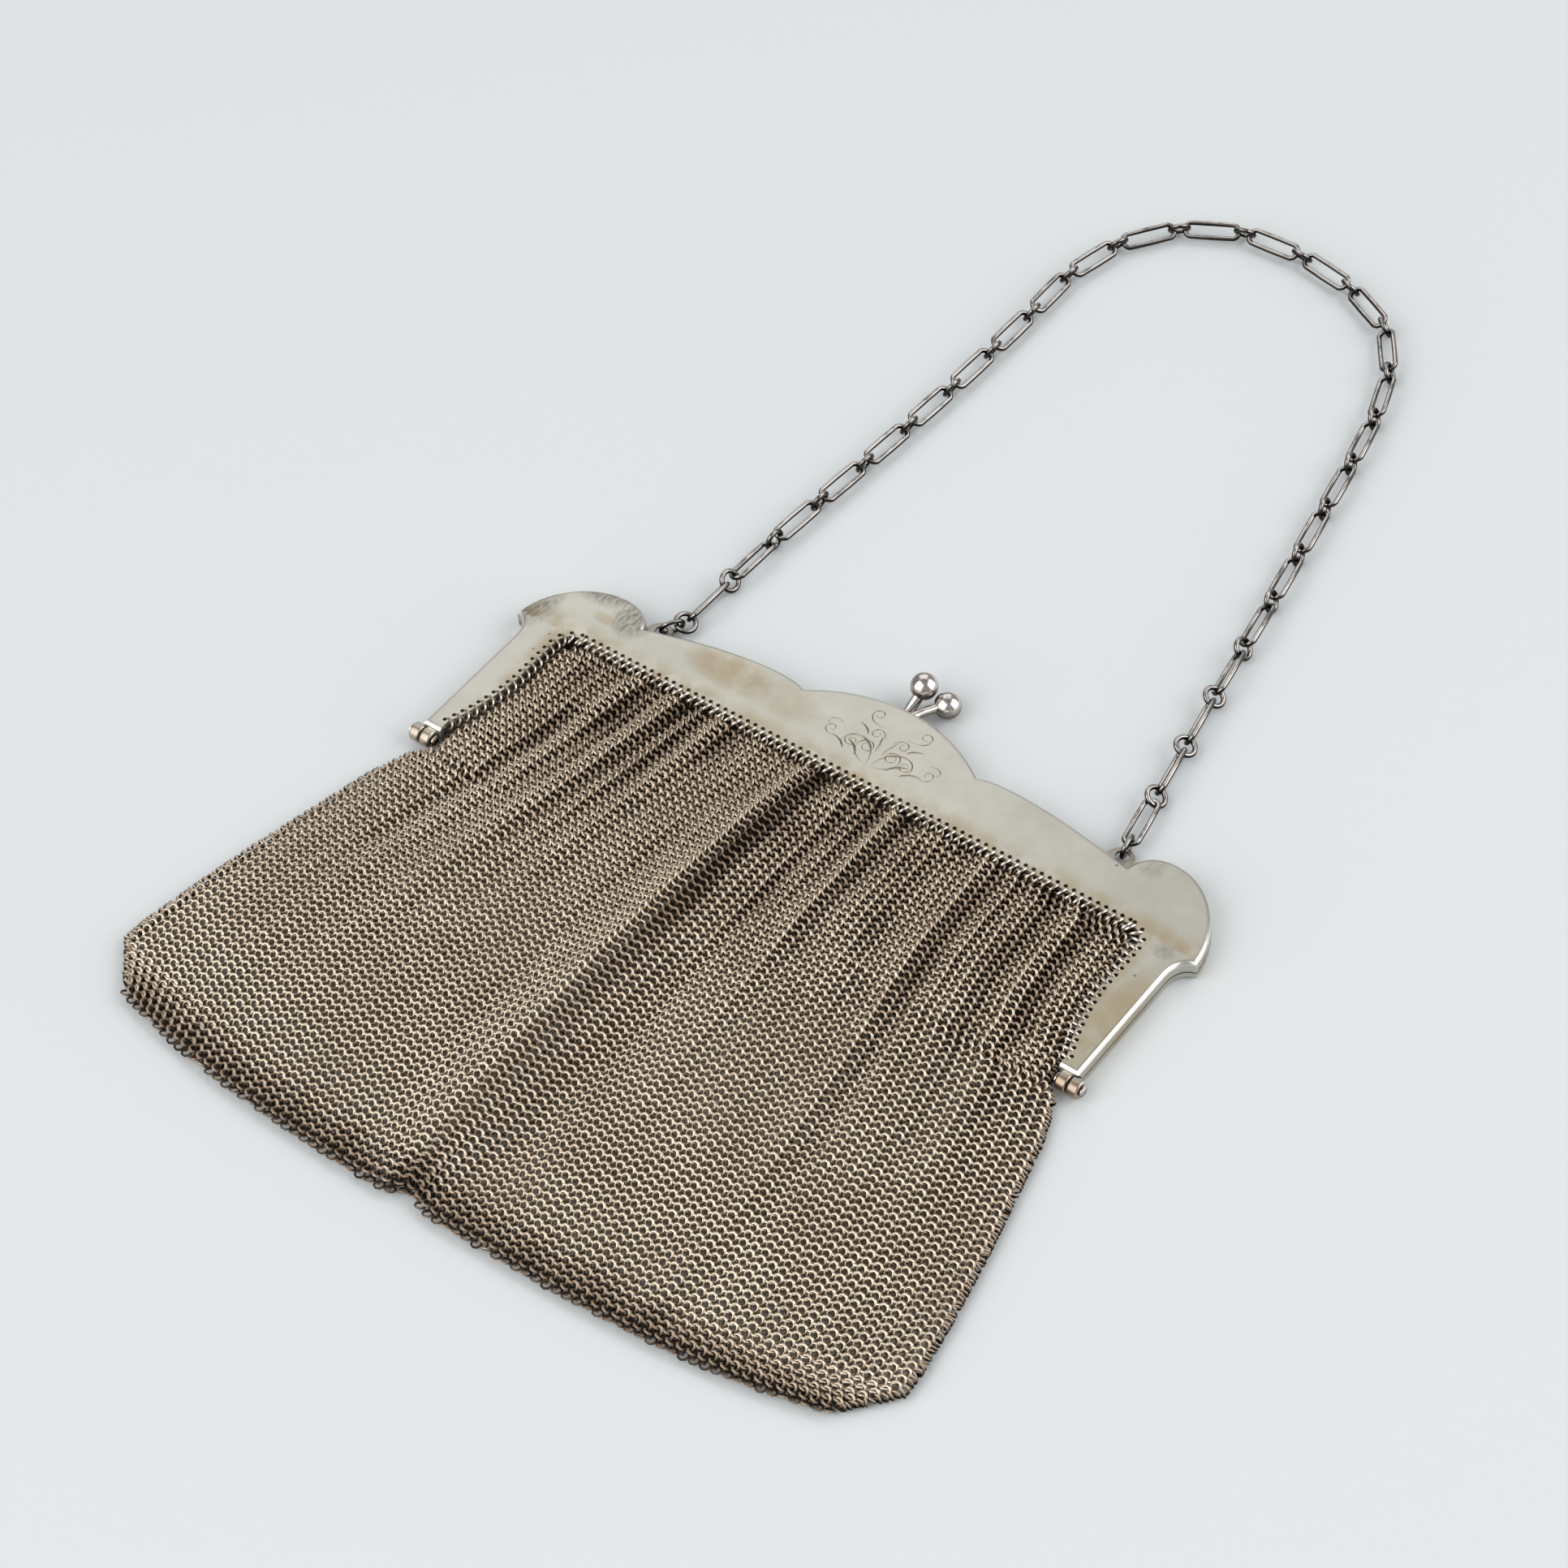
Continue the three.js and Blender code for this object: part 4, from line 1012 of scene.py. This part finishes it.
def bright_silver(name, colour, rough, tarnish_and_shade, painted_lit_above=(-2, -1.5)):
    """Handled silver: dark tarnish in patches, and painted shade on what faces down more than the lit
    threshold says.
    """
    finish = Finish(name)
    place = finish.place()
    cloud = finish.noise(place, 260, 5, 0.65)
    speck = finish.noise(place, 1500, 3, 0.6)
    # Painted shade on what faces down, away from the lamps above
    below = 1 - finish.upward().between(*painted_lit_above)
    base = finish.mix((cloud.between(0.42, 0.68) * 0.7).larger(below), colour, tarnish_and_shade)
    bump = finish.bump(speck, 0.15, 0.00003)
    return finish.set(Base_Color=base, Metallic=1.0, Roughness=rough + cloud * 0.12, Normal=bump)


def mesh_silver(name, bright, tarnish_and_shade, deep_tarnish_and_shade, rough):
    """Ring wire with painted light and shade: bright where it stands outwards, brown tarnish and shade in
    the weave, brown-black where the painted shade of the folds is deepest.
    """
    finish = Finish(name)
    place = finish.place()
    depth = finish.add("ShaderNodeAttribute", {"attribute_name": "ring_depth"}, output=2)
    cloud = finish.noise(place, 45, 3, 0.6)
    speck = finish.noise(place, 700, 2, 0.6)
    # Painted light and shade: lighter where the wire stands out, darker where it lies deep or in painted
    # shade
    level = depth.between(-0.5, 0.3)
    share = level * (0.75 + cloud.between(0.3, 0.7) * 0.25) * (0.7 + speck.between(0.35, 0.6) * 0.3)
    base = finish.mix(share, tarnish_and_shade, bright)
    # Painted deep shade in the folds, with tarnish at the hem
    base = finish.mix(1 - depth.between(-1.1, -0.35), base, deep_tarnish_and_shade)
    return finish.set(Base_Color=base, Metallic=1.0, Roughness=rough + (1 - level) * 0.2)


# Finishes
SATIN = satin_silver()
# Painted shade on the lower half of the clasp balls and hinge pins
POLISHED = bright_silver(
    "polished_silver", colour=(0.74, 0.7, 0.66), rough=0.13,
    tarnish_and_shade=(0.17, 0.135, 0.11), painted_lit_above=(-0.3, 0.7))
# Painted highlight along the top of the chain wire, painted shade on its sides and underside
CHAIN_METAL = bright_silver(
    "dark_silver", colour=(0.6, 0.57, 0.54), rough=0.14,
    tarnish_and_shade=(0.035, 0.03, 0.026), painted_lit_above=(0.5, 1.02))
LUG_METAL = bright_silver("lug_silver", colour=(0.34, 0.31, 0.27), rough=0.3, tarnish_and_shade=(0.1, 0.08, 0.065))
STITCH_METAL = bright_silver("stitch_silver", colour=(0.64, 0.6, 0.54), rough=0.26, tarnish_and_shade=(0.26, 0.2, 0.15))
ENGRAVED = bright_silver("engraved_line", colour=(0.28, 0.24, 0.19), rough=0.45, tarnish_and_shade=(0.2, 0.17, 0.13))
MESH_METAL = mesh_silver(
    "mesh_silver", bright=(0.87, 0.77, 0.63), tarnish_and_shade=(0.4, 0.305, 0.225),
    deep_tarnish_and_shade=(0.05, 0.037, 0.027), rough=0.46)


# Frame
INNER_KNUCKLE = (KNUCKLE_INNER_START, KNUCKLE_INNER_END)
OUTER_KNUCKLE = (KNUCKLE_OUTER_START, KNUCKLE_OUTER_END)
front = add_knuckles(frame_shell(FRONT_SEAM, FRAME_THICKNESS, True), INNER_KNUCKLE, OUTER_KNUCKLE)
finish_piece(front, "front_plate", "frame_front", SATIN, 30)
front_ball = ball_on_stem(
    FRONT_STEM_X, FRONT_SEAM + FRONT_DEPTH / 2, FRONT_BALL_X, FRONT_BALL_HEIGHT, FRONT_STEM_FLARE)
finish_piece(front_ball, "front_clasp_ball", "frame_front", POLISHED, 40)

back = add_knuckles(frame_shell(0, BACK_DEPTH, False), OUTER_KNUCKLE, INNER_KNUCKLE)
finish_piece(back, "back_plate", "frame_back", SATIN, 30)
back_ball = ball_on_stem(
    BACK_STEM_X, BACK_DEPTH / 2, BACK_BALL_X, FRONT_BALL_HEIGHT + BALL_CROSSING, BACK_STEM_FLARE)
finish_piece(back_ball, "back_clasp_ball", "frame_back", POLISHED, 40)
lugs = join(lug(LUG_LEFT_X), lug(LUG_RIGHT_X))
finish_piece(lugs, "chain_lugs", "frame_back", LUG_METAL, 40)


# A plain scroll ornament, engraved on the bump, the same on both sides of its middle

def scroll_line(start, turn, length, bend, width):
    """A line from a place and a heading that curls from one bend to another and thins to its ends."""
    share = np.linspace(0, 1, SCROLL_STEPS)
    step = length / SCROLL_STEPS
    headings = math.radians(turn) + np.cumsum(np.interp(share, (0, 1), bend)) * step
    run = np.stack([np.cos(headings), np.sin(headings)], axis=1) * step
    points = np.array(start) + np.cumsum(run, axis=0)
    deselect()
    bpy.ops.curve.primitive_nurbs_path_add()
    line = bpy.context.object
    line.data.splines.clear()
    spline = line.data.splines.new("POLY")
    spline.points.add(SCROLL_STEPS - 1)
    for point, (x, y), at in zip(spline.points, points, share):
        point.co = (x, y, FRAME_THICKNESS, 1)
        point.radius = SCROLL_TIP + math.sin(math.pi * at) ** SCROLL_SWELL
    line.data.bevel_depth = width / 2
    line.data.bevel_resolution = 0
    use(line)
    bpy.ops.object.convert(target="MESH")
    return bpy.context.object


def scroll_ornament():
    lines = []
    for side in (-1, 1):
        for (x, y), turn, length, bend, width in SCROLLS:
            start = (SCROLL_X + side * x, y)
            turn = turn if side > 0 else 180 - turn
            lines.append(scroll_line(start, turn, length, [side * amount for amount in bend], width))
    finish_piece(join(*lines), "scroll_engraving", "frame_front", ENGRAVED, 60)


scroll_ornament()


# Stitch rings along both plates

def stitches(name, height, flattening, steps, sides):
    """Slanting rings through the holes of one plate, flattened where they cross it."""
    obj = ring_primitive(STITCH_RADIUS, STITCH_WIRE_RADIUS, steps, sides)
    base = np.array([v.co for v in obj.data.vertices])
    slant = math.radians(STITCH_SLANT)
    lean = math.radians(STITCH_LEAN)
    copies = []
    for (x, y), out in stitch_places():
        across = out[0] * math.cos(slant) + out[1] * math.sin(slant)
        ahead = out[1] * math.cos(slant) - out[0] * math.sin(slant)
        middle = np.array([x, y, height]) - STITCH_SETBACK * np.array([*out, 0])
        flat = np.array([across, ahead, 0])
        tall = np.array([0, 0, math.cos(lean)]) + np.cross(flat, [0, 0, 1]) * math.sin(lean)
        side = np.cross(flat, tall)
        copies.append(middle + base[:, 0:1] * flat + base[:, 1:2] * flattening * tall + base[:, 2:3] * side)
    repeat_mesh(obj, copies)
    finish_piece(obj, name, "mesh_bag", STITCH_METAL, 60)


stitches("front_stitch_rings", FRAME_THICKNESS - PLATE / 2, FRONT_STITCH_FLATTENING, 14, 6)
stitches("back_stitch_rings", BACK_STITCH_HEIGHT, BACK_STITCH_FLATTENING, 8, 4)


# Bag

def bag():
    """Both sides of ring mesh, each in a few upright strips."""
    rng = np.random.default_rng(7)
    sides = (("front", True, 3, FRONT_RING_STEPS), ("back", False, 2, BACK_RING_STEPS))
    for side, is_front, pieces, steps in sides:
        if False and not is_front:
            continue
        middle, first, second, out, across, shade = ring_rows(is_front, rng)
        order = np.argsort(across, kind="stable")
        for i, chosen in enumerate(np.array_split(order, pieces), 1):
            rings = [column[chosen] for column in (middle, first, second, out, shade)]
            ring_piece(f"mesh_{side}_{i}", rings, steps, MESH_METAL)


bag()


def hem_rings():
    """Rings that join the two sides along the bag's sides and hang open along its bottom."""
    rng = np.random.default_rng(11)
    bottom = sheet_place(mesh_columns(), np.full(MESH_COLUMNS, HEM_ALONG), True)
    bottom[:, 2] = HEM_HEIGHT
    rows = np.concatenate([(np.arange(MESH_ROWS) + k) / MESH_ROWS for k in (0.25, 0.75)])
    rows = rows[rows > 0.02]
    sides = [sheet_place(np.full(len(rows), side), rows, True) for side in (-1.0, 1.0)]
    middle = np.concatenate([bottom, *sides])
    middle[MESH_COLUMNS:, 2] = SIDE_RING_HEIGHT
    count = len(middle)
    is_bottom = np.arange(count) < MESH_COLUMNS
    turn = rng.normal(0, HEM_SPREAD["turn"], count)
    lean = np.where(is_bottom, rng.normal(HEM_DROOP, HEM_SPREAD["droop"], count), 0)
    first = np.stack([np.cos(turn), np.sin(turn), np.zeros(count)], axis=1)
    flat = np.stack([-np.sin(turn) * np.cos(lean), np.cos(turn) * np.cos(lean), np.sin(lean)], axis=1)
    swing = rng.normal(0, HEM_SPREAD["swing"], count)
    tall = np.stack([np.zeros(count), np.sin(swing), np.cos(swing)], axis=1)
    second = np.where(is_bottom[:, None], flat, tall)
    out = np.tile([0.0, 0.0, 1.0], (count, 1))
    # Painted shade and tarnish on every hem ring
    shade = np.full(count, float(HEM_SHADE))
    ring_piece("mesh_hem", (middle, first, second, out, shade), FRONT_RING_STEPS, MESH_METAL)


hem_rings()


# Chain, link by link over the part's route

def catmull_rom(points, samples):
    """A centripetal Catmull-Rom line through points, densely sampled."""
    points = [Vector(p) for p in points]
    points = [2 * points[0] - points[1], *points, 2 * points[-1] - points[-2]]
    line = []
    for a, b, c, d in zip(points, points[1:], points[2:], points[3:]):
        da, db, dc = ((q - p).length ** 0.5 for p, q in ((a, b), (b, c), (c, d)))
        start = ((b - a) / da - (c - a) / (da + db) + (c - b) / db) * db
        end = ((c - b) / db - (d - b) / (db + dc) + (d - c) / dc) * db
        for k in range(samples):
            t = k / samples
            bend = (3 * (c - b) - 2 * start - end) * t**2 + (2 * (b - c) + start + end) * t**3
            line.append(b + start * t + bend)
    return np.array(line + [points[-2]])


def link(line_radius, stretch, wire, place, direction, lean):
    """A wire loop with its length along direction and its face leaning sideways."""
    obj = ring_primitive(line_radius, wire / 2, LINK_STEPS, LINK_WIRE_SIDES)
    for vertex in obj.data.vertices:
        if abs(vertex.co.x) > 1e-5:
            vertex.co.x += math.copysign(stretch / 2, vertex.co.x)
    along = Vector(direction).normalized()
    side = along.cross((0, 0, 1)).normalized()
    angle = math.radians(lean)
    face = Vector((0, 0, 1)) * math.cos(angle) + side * math.sin(angle)
    across = face.cross(along)
    turn = Matrix((along, across, face)).transposed().to_4x4()
    obj.data.transform(Matrix.Translation(place) @ turn)
    return obj


def heading(turn):
    """A level direction, turned clockwise from the way out of the frame by degrees."""
    return Vector((math.sin(math.radians(turn)), math.cos(math.radians(turn)), 0))


LUG_DROP = JUMP_HEIGHT - BACK_DEPTH + LUG_THICKNESS / 2
JUMP_SEAT = JUMP_STRETCH / 2 + math.sqrt(JUMP_LINE**2 - LUG_DROP**2)
JUMP_HOOK = JUMP_STRETCH / 2 + JUMP_LINE - (JUMP_WIRE + WIRE) / 2 - JUMP_PLAY
LEFT_OUT = heading(JUMP_TURN_LEFT)
RIGHT_OUT = heading(JUMP_TURN_RIGHT)


def jump_centre(x, out):
    """Middle of the jump ring that hangs from the lug at x."""
    return Vector((x, rim_at(x) + LUG_HOLE_RISE, JUMP_HEIGHT)) + out * JUMP_SEAT


def chain():
    """Round and oblong links in turn along the route, leaning as the table says, and the jump rings."""
    left = jump_centre(LUG_LEFT_X, LEFT_OUT)
    right = jump_centre(LUG_RIGHT_X, RIGHT_OUT)
    start = left + LEFT_OUT * (JUMP_HOOK + RING_LINE)
    end = right + RIGHT_OUT * JUMP_HOOK
    line = catmull_rom([start, *[(x, y, CHAIN_HEIGHT) for x, y in CHAIN_ROUTE], end], 60)
    travelled = travelled_along(line)
    hook = RING_LINE - WIRE + WELD
    length = travelled[-1] + hook
    count = round(length / LINK_PITCH)
    pitch = length / count
    ends = [Vector([np.interp(i * pitch, travelled, line[:, k]) for k in range(3)]) for i in range(count)]
    ends.append(end + (ends[-1] - end).normalized() * -hook)
    leans = [float(np.interp(i / count, *zip(*CHAIN_LEAN))) for i in range(count + 1)]
    line_radius = (OBLONG_WIDTH - WIRE) / 2
    links = []
    for i in range(count):
        before = ends[i - 1] if i else left
        links.append(link(RING_LINE, 0, WIRE, ends[i], ends[i + 1] - before, leans[i]))
        span = ends[i + 1] - ends[i]
        stretch = span.length - 2 * hook - 2 * line_radius
        lean = (leans[i] + leans[i + 1]) / 2 - 90
        links.append(link(line_radius, stretch, WIRE, ends[i] + span / 2, span, lean))
    finish_piece(join(*links), "chain_links", "chain", CHAIN_METAL, 60)
    rings = (
        ("lug_ring_left", left, LEFT_OUT, JUMP_LEAN_LEFT),
        ("lug_ring_right", right, RIGHT_OUT, JUMP_LEAN_RIGHT),
    )
    for name, centre, out, lean in rings:
        ring = link(JUMP_LINE, JUMP_STRETCH, JUMP_WIRE, centre, out, lean)
        finish_piece(ring, name + "_wire", name, CHAIN_METAL, 60)


chain()

for pin in ("hinge_pin_left", "hinge_pin_right"):
    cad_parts[pin].data.materials.clear()
    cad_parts[pin].data.materials.append(POLISHED)


# Floor, lights and camera

def floor():
    deselect()
    bpy.ops.mesh.primitive_plane_add(size=FLOOR_SIZE)
    surface = bpy.context.object
    surface.name = "floor"
    finish = Finish("pale_floor")
    surface.data.materials.append(finish.set(Base_Color=FLOOR_COLOUR, Roughness=0.6))


def softbox(name, direction, distance, size, radiance):
    """A square softbox that shines on the purse from a direction, with an even radiance."""
    lamp = bpy.data.lights.new(name, "AREA")
    lamp.shape = "SQUARE"
    lamp.size = size
    lamp.energy = radiance * math.pi * size**2
    holder = bpy.data.objects.new(name, lamp)
    bpy.context.scene.collection.objects.link(holder)
    direction = Vector(direction).normalized()
    holder.location = direction * distance
    holder.rotation_euler = direction.to_track_quat("Z", "Y").to_euler()


floor()
softbox("softbox_front", (-0.3, -0.79, 0.54), distance=1.7, size=2, radiance=2.2)
softbox("softbox_back", (0.79, 0.39, 0.47), distance=1.7, size=1.8, radiance=2.6)
softbox("softbox_over", (-0.43, 0.51, 0.745), distance=1.8, size=1.6, radiance=0.85)
world = bpy.data.worlds.new("studio")
world.use_nodes = True
sky = world.node_tree.nodes["Background"].inputs
sky["Color"].default_value = (*SKY_COLOUR, 1)
sky["Strength"].default_value = SKY_STRENGTH
bpy.context.scene.world = world
bpy.context.scene.view_settings.view_transform = "Standard"

camera = bpy.data.cameras.new("camera")
camera.lens = CAMERA_LENS
camera.sensor_width = SENSOR
holder = bpy.data.objects.new("camera", camera)
bpy.context.scene.collection.objects.link(holder)
axes = Euler([math.radians(angle) for angle in CAMERA_ANGLES]).to_matrix().to_4x4()
eye = Vector(CAMERA_PLACE) * MM + Vector((0, HINGE_Y, 0))
holder.matrix_world = Matrix.Translation(eye) @ axes
bpy.context.scene.camera = holder
